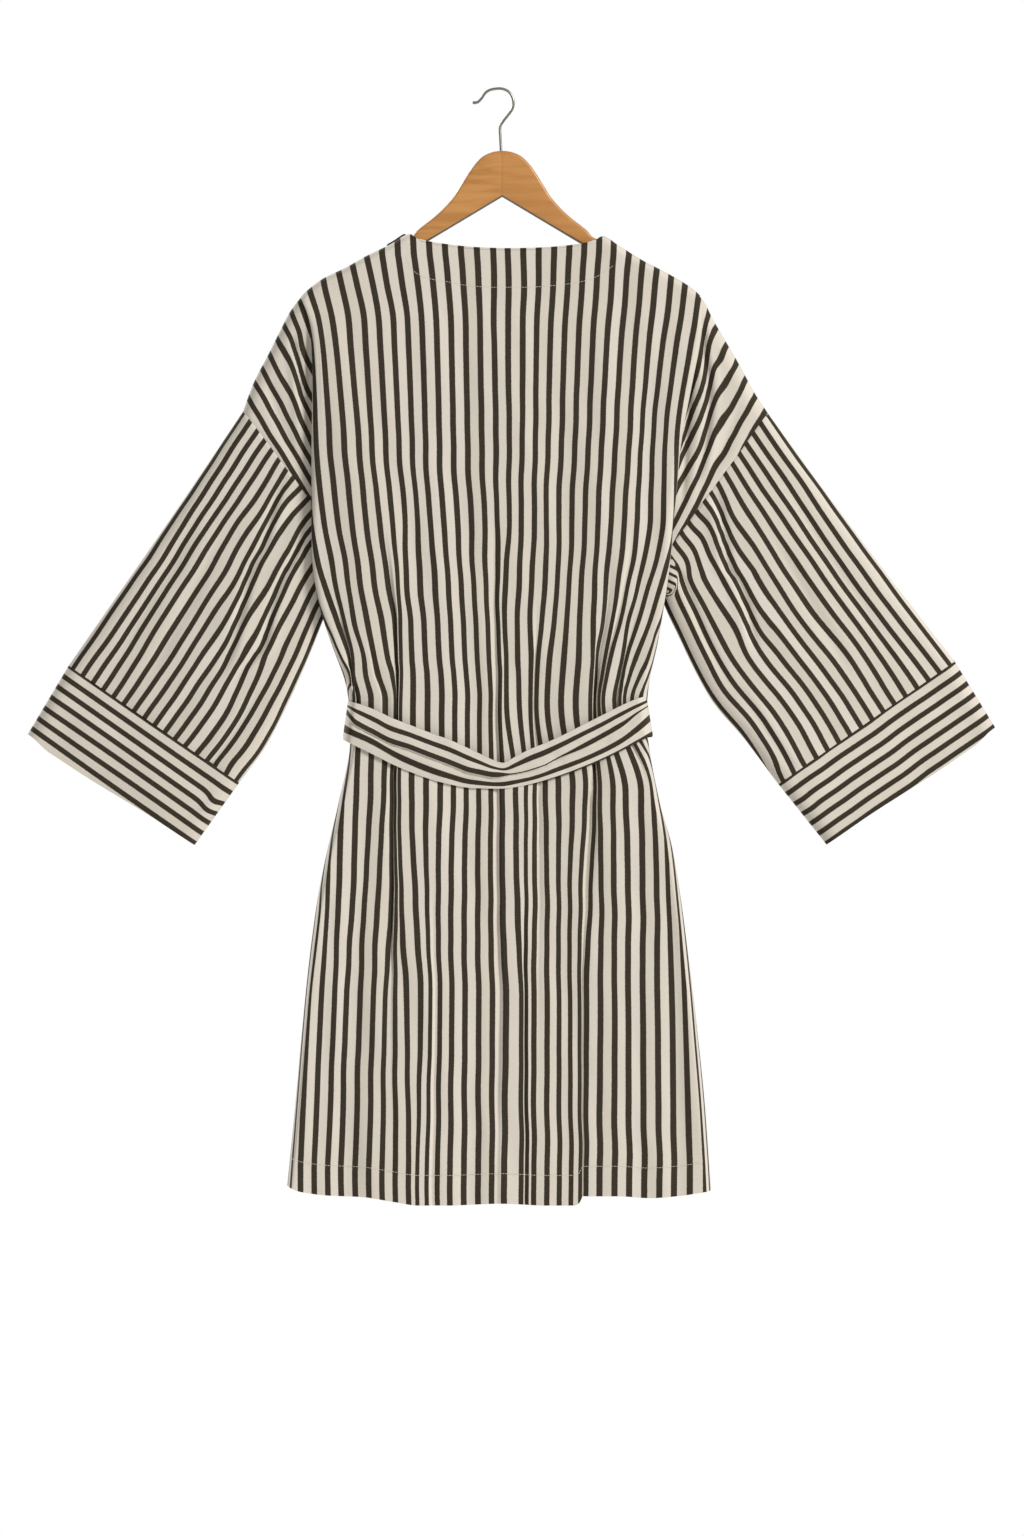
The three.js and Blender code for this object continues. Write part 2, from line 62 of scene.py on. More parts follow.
def through(at, value):  # a curve that passes its points and never overshoots them
    order = np.argsort(at)
    at, value = np.asarray(at, float)[order], np.asarray(value, float)[order]
    rise = np.diff(value) / np.diff(at)
    before, after = rise[:-1], rise[1:]
    turning = before * after <= 0
    total = np.where(turning, 1, before + after)
    slope = np.concatenate([rise[:1], np.where(turning, 0, 2 * before * after / total), rise[-1:]])

    def read(x):
        x = np.clip(x, at[0], at[-1])
        i = np.clip(np.searchsorted(at, x) - 1, 0, len(at) - 2)
        span = at[i + 1] - at[i]
        t = (x - at[i]) / span
        climb = value[i + 1] - value[i]
        a, b = slope[i] * span, slope[i + 1] * span
        return value[i] + t * (a + t * (3 * climb - 2 * a - b + t * (a + b - 2 * climb)))

    return read


def curvesOf(rows, key):
    return {name: through(rows[key], rows[name]) for name in rows if name != key}


def lengths(line):  # how far along a line of points each of them is
    return np.concatenate([[0], np.cumsum(np.linalg.norm(np.diff(line, axis=0), axis=1))])


def unit(vectors):
    return vectors / np.linalg.norm(vectors, axis=-1, keepdims=True)


def pathOf(rows):  # x and z at a share of the way along a table of points
    run = lengths(np.stack([rows["x"], rows["z"]], 1))
    x, z = through(run / run[-1], rows["x"]), through(run / run[-1], rows["z"])
    return lambda t: np.stack([x(t), z(t)], -1)


def smooth(x, low, high):
    t = np.clip((x - low) / (high - low), 0, 1)
    return t * t * (3 - 2 * t)


def blend(a, b, share):
    return a + (b - a) * share


def wander(across, down, seed, size=90):  # a soft value from -1 to 1 that strays over the cloth
    rng = np.random.default_rng(seed)
    total = 0
    for k in range(5):
        turn, start = rng.uniform(-0.5, 0.5), rng.uniform(0, 2 * math.pi)
        wave = size / (1 + 0.55 * k)
        along = across * math.cos(turn) + 0.35 * down * math.sin(turn + 0.9)
        total = total + np.sin(2 * math.pi * along / wave + start) / (1 + 0.6 * k)
    return total / 2.5


# Closed walls of cloth.
def wallPart(grid, uv, outward, ring=False, facing=0, wall=cloth["wall"]):
    # a closed wall whose outer side is a grid of points; a ring closes on itself across
    rows, columns = grid.shape[:2]
    if ring:
        along = np.roll(grid, -1, 1) - np.roll(grid, 1, 1)
    else:
        along = np.gradient(grid, axis=1)
    normal = np.cross(along, np.gradient(grid, axis=0))
    normal /= np.maximum(np.linalg.norm(normal, axis=2, keepdims=True), 1e-9)
    inner = grid - outward * wall * normal
    if facing:
        inner[..., 1] = facing * np.maximum(facing * inner[..., 1], cloth["middleGap"])
    points = np.concatenate([grid.reshape(-1, 3), inner.reshape(-1, 3)])
    number = np.arange(rows * columns).reshape(rows, columns)
    if ring:
        number = np.concatenate([number, number[:, :1]], 1)
    far = number + rows * columns

    def quads(a, b, c, d):
        order = (a, b, c, d) if outward > 0 else (a, d, c, b)
        return np.stack([corner.ravel() for corner in order], 1)

    faces = [
        quads(number[:-1, :-1], number[:-1, 1:], number[1:, 1:], number[1:, :-1]),
        quads(far[:-1, :-1], far[1:, :-1], far[1:, 1:], far[:-1, 1:]),
        quads(number[0, :-1], far[0, :-1], far[0, 1:], number[0, 1:]),
        quads(number[-1, :-1], number[-1, 1:], far[-1, 1:], far[-1, :-1]),
    ]
    if not ring:
        faces.append(quads(number[:-1, 0], number[1:, 0], far[1:, 0], far[:-1, 0]))
        faces.append(quads(number[:-1, -1], far[:-1, -1], far[1:, -1], number[1:, -1]))
    return points, np.concatenate(faces).tolist(), np.concatenate([uv.reshape(-1, 2)] * 2)


def ringNumbers(rows, columns):  # the points' numbers, ring by ring, each closed on itself
    number = np.arange(rows * columns).reshape(rows, columns)
    return np.concatenate([number, number[:, :1]], 1)


def cappedRings(grid, tips, uv, tipUv):  # rings of points, closed at both ends by a point
    number, end = ringNumbers(*grid.shape[:2]), grid.shape[0] * grid.shape[1]
    quads = np.stack([number[:-1, :-1], number[1:, :-1], number[1:, 1:], number[:-1, 1:]], -1)
    faces = quads.reshape(-1, 4).tolist()
    for a, b, tip in ((number[0, :-1], number[0, 1:], end), (number[-1, 1:], number[-1, :-1], end + 1)):
        faces += np.stack([a, b, 0 * a + tip], 1).tolist()
    return np.concatenate([grid.reshape(-1, 3), tips]), faces, np.concatenate([uv.reshape(-1, 2), tipUv])


def addObject(name, data):
    added = bpy.data.objects.new(name, data)
    bpy.context.scene.collection.objects.link(added)
    return added


def meshPiece(name, parts, material, sharp=60):
    points, faces, uvs, count = [], [], [], 0
    for part in parts:
        points.append(part[0])
        faces += [[corner + count for corner in face] for face in part[1]]
        uvs.append(part[2])
        count += len(part[0])
    points = np.concatenate(points) + [hookOffset, 0, 0]
    uvs = np.concatenate(uvs)
    mesh = bpy.data.meshes.new(name)
    mesh.from_pydata((points * toMetres).tolist(), [], faces)
    corner = np.zeros(len(mesh.loops), int)
    mesh.loops.foreach_get("vertex_index", corner)
    mesh.uv_layers.new(name="cloth").uv.foreach_set("vector", uvs[corner].ravel())
    mesh.materials.append(material)
    mesh.polygons.foreach_set("use_smooth", [True] * len(mesh.polygons))
    mesh.set_sharp_from_angle(angle=math.radians(sharp))
    return addObject(name, mesh)


# Materials.
class Wire:
    # a node's output; Python's own operators on it add Math nodes
    def __init__(self, tree, socket):
        self.tree, self.socket = tree, socket

    def node(self, kind, settings=None, output=0, **values):
        return addNode(self.tree, kind, settings, output, **values)

    def maths(self, operation, *values):
        return addNode(self.tree, "ShaderNodeMath", {"operation": operation}, 0, values)

    def __add__(self, other):
        return self.maths("ADD", self, other)

    def __sub__(self, other):
        return self.maths("SUBTRACT", self, other)

    def __rsub__(self, other):
        return self.maths("SUBTRACT", other, self)

    def __mul__(self, other):
        return self.maths("MULTIPLY", self, other)

    def __truediv__(self, other):
        return self.maths("DIVIDE", self, other)

    __radd__ = __add__
    __rmul__ = __mul__


def setInput(tree, socket, value):
    if isinstance(value, Wire):
        tree.links.new(value.socket, socket)
    else:
        socket.default_value = value


def addNode(tree, kind, settings=None, output=0, ordered=(), **named):
    node = tree.nodes.new(kind)
    for setting, value in (settings or {}).items():
        setattr(node, setting, value)
    for k, value in enumerate(ordered):
        setInput(tree, node.inputs[k], value)
    setInputs(tree, node, **named)
    return Wire(tree, node.outputs[output])


def setInputs(tree, node, **named):
    for name, value in named.items():
        setInput(tree, node.inputs[name.replace("_", " ")], value)


def newMaterial(name):
    material = bpy.data.materials.new(name)
    material.use_nodes = True
    tree = material.node_tree
    shader = next(node for node in tree.nodes if node.type == "BSDF_PRINCIPLED")
    return material, tree, shader


def colourMix(tree, factor, first, second):
    node = tree.nodes.new("ShaderNodeMix")
    node.data_type = "RGBA"
    for k, value in ((0, factor), (6, first), (7, second)):
        setInput(tree, node.inputs[k], value)
    return Wire(tree, node.outputs[2])


def softStep(value, low, high):
    return value.node("ShaderNodeMapRange", {"interpolation_type": "SMOOTHSTEP"}, 0,
                      Value=value, From_Min=low, From_Max=high)


stripeLook = {
    "light": (0.585, 0.538, 0.467, 1), "warm": (0.632, 0.585, 0.518, 1), "cool": (0.53, 0.49, 0.42, 1),
    "dark": (0.028, 0.021, 0.012, 1), "darkFleck": (0.055, 0.044, 0.030, 1),
    "darkShare": 0.42, "darkHalf": 2.85, "least": 0.18, "most": 0.44, "softness": 0.022,
    "weaveAcross": 26, "weaveDown": 1.7,
}


def stripedCotton(name):
    look = stripeLook
    material, tree, shader = newMaterial(name)
    place = addNode(tree, "ShaderNodeUVMap", {"uv_map": "cloth"})
    across = addNode(tree, "ShaderNodeSeparateXYZ", Vector=place)
    down = Wire(tree, across.socket.node.outputs[1])
    solid = addNode(tree, "ShaderNodeTexCoord", output=3)
    ragged = addNode(tree, "ShaderNodeTexNoise", Vector=solid, Scale=900, Detail=2)
    strayed = across + (ragged - 0.5) * 0.05
    stripe = strayed.maths("FLOOR", strayed + 0.5)
    off = strayed.maths("ABSOLUTE", strayed - stripe)
    half = look["darkShare"] / 2
    mask = 1 - softStep(off, half - look["softness"], half + look["softness"])
    band = across.maths("FLOOR", across)
    toneHere = addNode(tree, "ShaderNodeTexWhiteNoise", {"noise_dimensions": "1D"}, W=band + 7.3)
    otherTone = addNode(tree, "ShaderNodeTexWhiteNoise", {"noise_dimensions": "1D"}, W=band * 1.7 + 31.1)
    cloudy = addNode(tree, "ShaderNodeTexNoise", Vector=solid, Scale=9, Detail=3)
    thread = addNode(tree, "ShaderNodeTexNoise", Vector=solid, Scale=1400, Detail=1)
    light = colourMix(tree, softStep(toneHere, 0.3, 0.9) * 0.75, look["light"], look["warm"])
    light = colourMix(tree, softStep(otherTone, 0.4, 1.0) * 0.8, light, look["cool"])
    light = colourMix(tree, softStep(cloudy, 0.35, 0.75) * 0.2, light, look["cool"])
    light = colourMix(tree, softStep(thread, 0.45, 0.8) * 0.22, light, (0.46, 0.415, 0.345, 1))
    dark = colourMix(tree, softStep(thread, 0.5, 0.72) * 0.8, look["dark"], look["darkFleck"])
    colour = colourMix(tree, mask, light, dark)
    weft = down.maths("SINE", down * (2 * math.pi * look["weaveDown"]))
    warp = across.maths("SINE", across * (2 * math.pi * look["weaveAcross"]))
    weave = (weft * warp + ragged * 1.2) * 0.5
    bump = addNode(tree, "ShaderNodeBump", Height=weave, Strength=0.25, Distance=0.0002)
    setInputs(tree, shader, Normal=bump, Base_Color=colour, Roughness=0.88, Specular_IOR_Level=0.18,
              Sheen_Weight=0.06, Sheen_Roughness=0.5)
    return material


def lacqueredWood():
    material, tree, shader = newMaterial("hangerWood")
    solid = addNode(tree, "ShaderNodeTexCoord", output=3)
    turned = addNode(tree, "ShaderNodeMapping", Vector=solid, Scale=(5, 30, 42), Rotation=(0, 0.12, 0))
    grain = addNode(tree, "ShaderNodeTexNoise", Vector=turned, Scale=3.2, Detail=5, Distortion=0.4)
    pores = addNode(tree, "ShaderNodeMapping", Vector=solid, Scale=(160, 700, 900))
    fleck = addNode(tree, "ShaderNodeTexNoise", Vector=pores, Scale=2.4, Detail=2)
    where = addNode(tree, "ShaderNodeSeparateXYZ", Vector=solid)
    seam = softStep(where.maths("ABSOLUTE", where - 0.0053), 0.0012, 0.0004)
    rightHalf = softStep(where, 0.0045, 0.0062)
    colour = colourMix(tree, softStep(grain, 0.3, 0.72), (0.525, 0.245, 0.068, 1), (0.40, 0.172, 0.042, 1))
    colour = colourMix(tree, softStep(fleck, 0.58, 0.75) * 0.5, colour, (0.26, 0.105, 0.028, 1))
    colour = colourMix(tree, rightHalf * 0.35, colour, (0.41, 0.172, 0.04, 1))
    colour = colourMix(tree, seam * 0.35, colour, (0.30, 0.14, 0.045, 1))
    facing = addNode(tree, "ShaderNodeNewGeometry", output=1)
    upward = Wire(tree, addNode(tree, "ShaderNodeSeparateXYZ", Vector=facing).socket.node.outputs[2])
    # painted shade: faces whose normal points down are mixed to a near-black brown, standing in for the
    # shade along the hanger's lower edge
    colour = colourMix(tree, softStep(upward, -0.35, -0.6), colour, (0.085, 0.075, 0.06, 1))
    bump = addNode(tree, "ShaderNodeBump", Height=grain + fleck, Strength=0.15, Distance=0.0003)
    setInputs(tree, shader, Base_Color=colour, Normal=bump, Roughness=0.36 + fleck * 0.12, Coat_Weight=0.12,
              Coat_Roughness=0.2)
    return material


def hookSteel():
    material, tree, shader = newMaterial("hookSteel")
    solid = addNode(tree, "ShaderNodeTexCoord", output=3)
    drawn = addNode(tree, "ShaderNodeTexNoise", Vector=solid, Scale=400, Detail=2)
    colour = colourMix(tree, drawn, (0.36, 0.345, 0.31, 1), (0.24, 0.23, 0.2, 1))
    setInputs(tree, shader, Base_Color=colour, Roughness=0.3 + drawn * 0.12, Metallic=1)
    return material


striped = stripedCotton("stripedCotton")
woodFinish, steelFinish = lacqueredWood(), hookSteel()
print("materials made")


# The body's shape.
bodySizes = table("z left right back front tuck turn", [
    [-160, -221, 219, 11.2, 11.2, 9.6, 50], [-228, -221, 220, 11.2, 11.2, 9.6, 55],
    [-245, -216.5, 221, 13.5, 13.5, 9.6, 66], [-262, -211, 221, 16, 16, 9.6, 80],
    [-280, -208.4, 219, 18, 17.5, 9.6, 100], [-319, -207, 211, 21, 20, 9.6, 130],
    [-396, -208, 197, 24, 21, 9.6, 158], [-440, -208, 193, 25.5, 21.5, 9.8, 165],
    [-478, -208, 189, 26, 22, 13.6, 165], [-517, -207, 186, 26, 22, 13.6, 165],
    [-561, -201, 180, 25, 22, 13.6, 160], [-580, -196, 177, 24, 21.5, 11, 145],
    [-605, -188, 173, 23, 21, 0.15, 90], [-660, -169.5, 162, 20, 18, 0.15, 90],
    [-690, -166, 160, 18.5, 17.5, 0.15, 90], [-715, -166, 162, 18, 17, 0.15, 90],
    [-781, -178, 174, 21, 20, 0.15, 90], [-836, -191, 189, 24, 22, 0.15, 90],
    [-891, -202, 198, 26, 24, 0.15, 90], [-975, -213, 209, 28, 26, 0.15, 90],
    [-1036, -219, 216, 29, 27, 0.15, 90], [-1113, -226, 224, 30, 28, 0.15, 90],
    [-1225, -237, 232, 32, 30, 0.15, 90],
])
topEdge = route([
    [-224, -231], [-212, -219.5], [-195, -207], [-172, -196], [-147, -182], [-123, -170.5], [-99, -158.5],
    [-94, -163], [-80, -167.8], [-64, -170.5], [-44, -173], [-24, -174.6], [9, -175.6], [40, -175],
    [64, -173.5], [78, -172], [97, -168.5], [106, -164.5], [111, -160.5], [129, -171], [155, -187],
    [178, -199], [201, -212], [216, -223], [224, -233],
])
hemEdge = route([
    [-237, -1203], [-220, -1210], [-192, -1214], [-150, -1216], [-118, -1221], [-90, -1225], [-56, -1225],
    [0, -1223], [50, -1225], [80, -1225], [86.5, -1222], [89, -1215], [128, -1215], [162, -1217],
    [192, -1215], [232, -1209],
])
frontEdge = table("z across", [
    [-160, -105], [-230, -90], [-320, -62], [-420, -26], [-520, 12], [-620, 44], [-715, 60], [-860, 66],
    [-1040, 70], [-1225, 74],
])
bodyAt = curvesOf(bodySizes, "z")
topLine, hemLine = through(topEdge["x"], topEdge["z"]), through(hemEdge["x"], hemEdge["z"])
edgeAt = through(frontEdge["z"], frontEdge["across"])
edgeRound = 7
shoulderRound = 9

# Where the back's stripes run at each height, by their number from the middle one.
stripeNumbers = np.array([*range(-16, -6), -5, *range(-1, 5), *range(7, 15), 16], float)
stripePlaces = np.array([
    [-181.5, -287, -270, -253, -235, -218, -200, -183, -166, -148.5, -131, -96, -26, -8, 8, 25, 42, 59, 108,
     124, 141, 157, 174, 190, 207, 223, 256],
    [-214.5, -272, -257, -242, -227, -212, -194.5, -175.5, -158.5, -141, -125.5, -91.5, -25, -8, 8, 25, 41,
     57, 105, 121.5, 137.5, 153.5, 169.5, 186.5, 202.5, 218.5, 250],
    [-253, -268, -251, -232, -214, -200, -185, -167, -150, -134, -118, -87, -23, -8, 8, 24, 39.5, 55, 102,
     118, 134, 149.5, 165, 181.5, 197, 213.5, 244],
    [-286, -261, -244, -224.5, -207.5, -195, -180.5, -164.5, -148, -132, -116.5, -85.5, -22.5, -7, 8, 24,
     39, 54, 100.5, 116, 131.5, 147, 162, 177, 192, 207.5, 238],
    [-396, -250, -233, -218, -202.5, -187, -171, -155, -141, -126, -111.5, -82.5, -21, -5.5, 9, 23, 37.5,
     51.5, 95.5, 110, 125, 140, 153, 166, 179.5, 192.5, 219],
    [-473, -240, -224.5, -209, -194.5, -179.5, -164, -148.5, -133.5, -119.5, -105.5, -78, -18, -4.5, 9, 22,
     36.5, 49.5, 92, 106.5, 121, 135.5, 149.5, 164, 178, 192.5, 221],
    [-517, -232, -216.5, -201.5, -186, -171, -157.5, -142, -127.5, -115, -104.5, -74, -17.5, -3, 6.5, 21,
     35, 49.5, 90, 104, 117, 131.5, 145, 156.5, 170.5, 183, 210],
    [-554, -222, -207, -190.5, -179.5, -166, -152.5, -137, -122, -112, -102.5, -71.5, -16, -4, 4.5, 19.5,
     33, 47.5, 87.5, 102.5, 114.5, 127, 137.5, 148.5, 159.5, 172.5, 198],
    [-586, -212, -196, -179, -171.5, -161, -146.5, -130.5, -116.5, -110.5, -99, -69.5, -14.5, -3, 4, 18, 32,
     45, 86.5, 101.5, 112, 122, 131, 139.5, 150.5, 163, 187],
    [-626, -193.5, -176.5, -166, -163.5, -150.5, -139, -124.5, -115, -110.5, -98, -68, -13.5, -2, 5.5, 18,
     33, 40.5, 85, 101.5, 104.5, 114, 119.5, 133.5, 137.5, 147.5, 178],
    [-643, -180.5, -165.5, -164, -162.5, -148.5, -135, -119, -113, -110, -96.5, -66, -12.5, -1, 5.5, 19,
     32.5, 39.5, 83.5, 100, 103.5, 111, 115.5, 129.5, 133.5, 141.5, 166],
    [-671, -168.5, -163, -161.5, -156, -142, -126.5, -115, -113, -110.5, -96, -64.5, -11, -1, 6, 20, 32.5,
     39, 82, 99, 102.5, 107.5, 111.5, 124.5, 130.5, 135, 154],
    [-769, -201.5, -187.5, -174, -158.5, -143, -128.5, -120, -115.5, -112.5, -98, -66.5, -11, 1.5, 16, 27.5,
     37, 48.5, 92.5, 103, 107.5, 122.5, 136, 153, 166, 178, 199],
    [-888, -200.5, -190, -178, -162.5, -149.5, -135, -120, -115, -110, -94, -69, -11.5, 1.5, 17.5, 27.5, 37,
     50.5, 87, 98, 110, 124, 139.5, 155.5, 171, 183.5, 208],
    [-1001, -211, -197, -182.5, -169.5, -154.5, -140, -127, -116, -103.5, -88, -67, -9.5, 5.5, 23, 27.5, 36,
     50.5, 86, 93.5, 109, 124.5, 139.5, 155.5, 171.5, 187.5, 214.5],
    [-1180, -219.5, -204.5, -189.5, -175, -159.5, -144.5, -130, -115.5, -101, -91.5, -69.5, -10, 3.5, 23,
     28.5, 36, 50.5, 87, 93, 108, 124.5, 140.5, 157, 173.5, 189.5, 224.5],
], float)
stripeLevels, finest = np.linspace(-1240, -150, 437), 0.04
stripeSteps = np.arange(-18, 18 + finest, finest)


def stripeField():
    # where each step of the stripes hangs at every level; beside a fold the dark ones keep their whole width
    whole = np.arange(-18, 19.0)
    heights = stripePlaces[:, 0]
    known = np.stack([through(heights, column)(stripeLevels) for column in stripePlaces[:, 1:].T], 1)
    field = []
    for row in known:
        inside = np.clip(whole, stripeNumbers[0], stripeNumbers[-1])
        places = through(stripeNumbers, row)(inside) + (whole - inside) * pitch
        gaps = np.diff(places)
        wide = np.clip(np.maximum(np.append(gaps, gaps[-1]), np.insert(gaps, 0, gaps[0])), 11, 16.5)
        right = places[:-1] + np.minimum(0.25 * wide[:-1], 0.46 * gaps)
        left = places[1:] - np.minimum(0.25 * wide[1:], 0.46 * gaps)
        knots = np.stack([places[:-1], right, left], 1).ravel()
        at = np.stack([whole[:-1], whole[:-1] + 0.25, whole[1:] - 0.25], 1).ravel()
        field.append(np.interp(stripeSteps, np.append(at, whole[-1]), np.append(knots, places[-1])))
    return np.array(field)


stripesAt = stripeField()


def stripePlace(number, z):  # where on the back a point of the cloth hangs, from its place in the stripes
    apart = stripeLevels[1] - stripeLevels[0]
    level = np.clip((z - stripeLevels[0]) / apart, 0, len(stripeLevels) - 1.001)
    step = np.clip((number - stripeSteps[0]) / finest, 0, len(stripeSteps) - 1.001)
    i, j = level.astype(int), step.astype(int)
    s, t = level - i, step - j
    low = blend(stripesAt[i, j], stripesAt[i, j + 1], t)
    high = blend(stripesAt[i + 1, j], stripesAt[i + 1, j + 1], t)
    return blend(low, high, s)


# Folds of the back.  A ramp falls over its width, in stripes, to a folded edge where the next layer begins.
backFolds = [
    # the layer left of the left waist fold, which dives under it
    (-1, 1.3, foldRows([[-480, -8.6, 0], [-540, -8.6, 3], [-610, -8.7, 6], [-700, -9, 7.5],
                        [-800, -9.2, 8], [-900, -9.4, 6], [-980, -9.3, 2.5], [-1225, -9, 1]])),
    (-1, 1.4, foldRows([[-560, -13.2, 0], [-600, -13.3, 4], [-640, -13.2, 7], [-700, -13.1, 6],
                        [-760, -13.1, 0]])),
    (1, 0.8, foldRows([[-600, -11.3, 0], [-650, -11.2, 3.5], [-700, -11, 4.5], [-760, -11, 0]])),
    (-1, 1.0, foldRows([[-440, -0.1, 0], [-540, -0.15, 3], [-640, -0.2, 5.5], [-800, -0.25, 6],
                        [-1000, -0.3, 5], [-1140, -0.4, 2.5], [-1225, -0.4, 1.5]])),
    (1, 1.0, foldRows([[-560, 3.4, 0], [-600, 3.45, 2.5], [-650, 3.5, 5], [-715, 3.4, 5],
                       [-800, 3.25, 5.5], [-940, 3.2, 3.5], [-1060, 3.2, 0.6], [-1225, 3.2, 0.3]])),
    (-1, 0.7, foldRows([[-860, 1.9, 0], [-960, 1.9, 3], [-1060, 1.9, 4], [-1225, 1.9, 2.5]])),
    (1, 1.5, foldRows([[-520, 9.2, 0], [-570, 9.1, 4], [-640, 8.9, 7.5], [-715, 8.3, 8.5],
                       [-781, 7.35, 9.5], [-850, 7.3, 8.5], [-930, 7.3, 6], [-1060, 7.3, 5],
                       [-1225, 7.3, 5.5]])),
    (1, 0.8, foldRows([[-480, 10.5, 0], [-540, 10.5, 3], [-590, 10.4, 3], [-640, 10.3, 0]])),
    (-1, 0.9, foldRows([[-560, 12.8, 0], [-620, 12.8, 3.5], [-690, 12.7, 5], [-760, 12.7, 0]])),
    (1, 1.2, foldRows([[-860, -5.6, 0], [-960, -5.6, 2], [-1113, -5.6, 3], [-1225, -5.6, 3]])),
]
# Soft troughs and swells besides: the middle, how wide in stripes, and the depth by height.
backSwells = [
    (1.6, foldRows([[-240, -11.5, 0], [-320, -11, -1.5], [-480, -10.6, -2], [-600, -10.5, 0]])),
    (1.2, foldRows([[-230, -6.2, 0], [-330, -6.1, 1.6], [-500, -6, 1.2], [-640, -6, 0]])),
    (1.0, foldRows([[-280, -2.9, 0], [-420, -2.9, 1.4], [-640, -2.8, 1.8], [-720, -2.8, 2.4],
                    [-800, -2.8, 1.5], [-960, -2.8, 0.5]])),
    (1.3, foldRows([[-260, 5.6, 0], [-380, 5.5, 1.6], [-560, 5.5, 1.2], [-700, 5.5, 1.8],
                    [-820, 5.6, 1.6], [-1225, 5.6, 1]])),
    (1.4, foldRows([[-250, 11.3, 0], [-350, 11.2, 2], [-480, 11.8, 2.4], [-600, 12, 0]])),
    (1.2, foldRows([[-780, -12.4, 0], [-880, -12.5, 2.4], [-1040, -12.6, 3], [-1225, -12.6, 2.6]])),
    (1.0, foldRows([[-800, -15.0, 0], [-900, -15.0, 2.2], [-1060, -15, 2.4], [-1225, -15, 2]])),
    (1.5, foldRows([[-800, 11.3, 0], [-930, 11.4, 2.4], [-1080, 11.4, 2.8], [-1225, 11.5, 3]])),
    (1.0, foldRows([[-840, 14.4, 0], [-930, 14.4, 2.4], [-1080, 14.4, 2.6], [-1225, 14.4, 2]])),
    (0.9, foldRows([[-980, -2.6, 0], [-1100, -2.6, 1.8], [-1225, -2.6, 2.4]])),
]


def foldDepth(number, z, folds, swells, steep=0.16):
    total = 0
    for side, width, rows in folds:
        curves = curvesOf(rows, "z")
        off = (number - curves["at"](z)) * side
        ramp = np.exp(-np.clip(off, 0, None) / width * 1.6) * smooth(off, -steep, steep)
        total = total + curves["depth"](z) * ramp
    for width, rows in swells:
        curves = curvesOf(rows, "z")
        total = total + curves["depth"](z) * np.exp(-(((number - curves["at"](z)) / width) ** 2))
    return total


def armLine(x):  # the line the cloth rounds over: the shoulders, and up the hanger's arms inside the neck
    away = x - cloth["neckMiddle"]
    inside = cloth["neckHalf"] - np.abs(away)
    corner = topLine(cloth["neckMiddle"] + np.sign(away) * cloth["neckHalf"])
    return np.where(inside > 0, corner + cloth["armSlope"] * inside, topLine(x))


def overShoulder(x, z, depth):
    drop = np.clip((armLine(x) - z) / shoulderRound, 0, 1)
    return np.maximum(depth * np.sqrt(1 - (1 - drop) ** 2), 0.15)


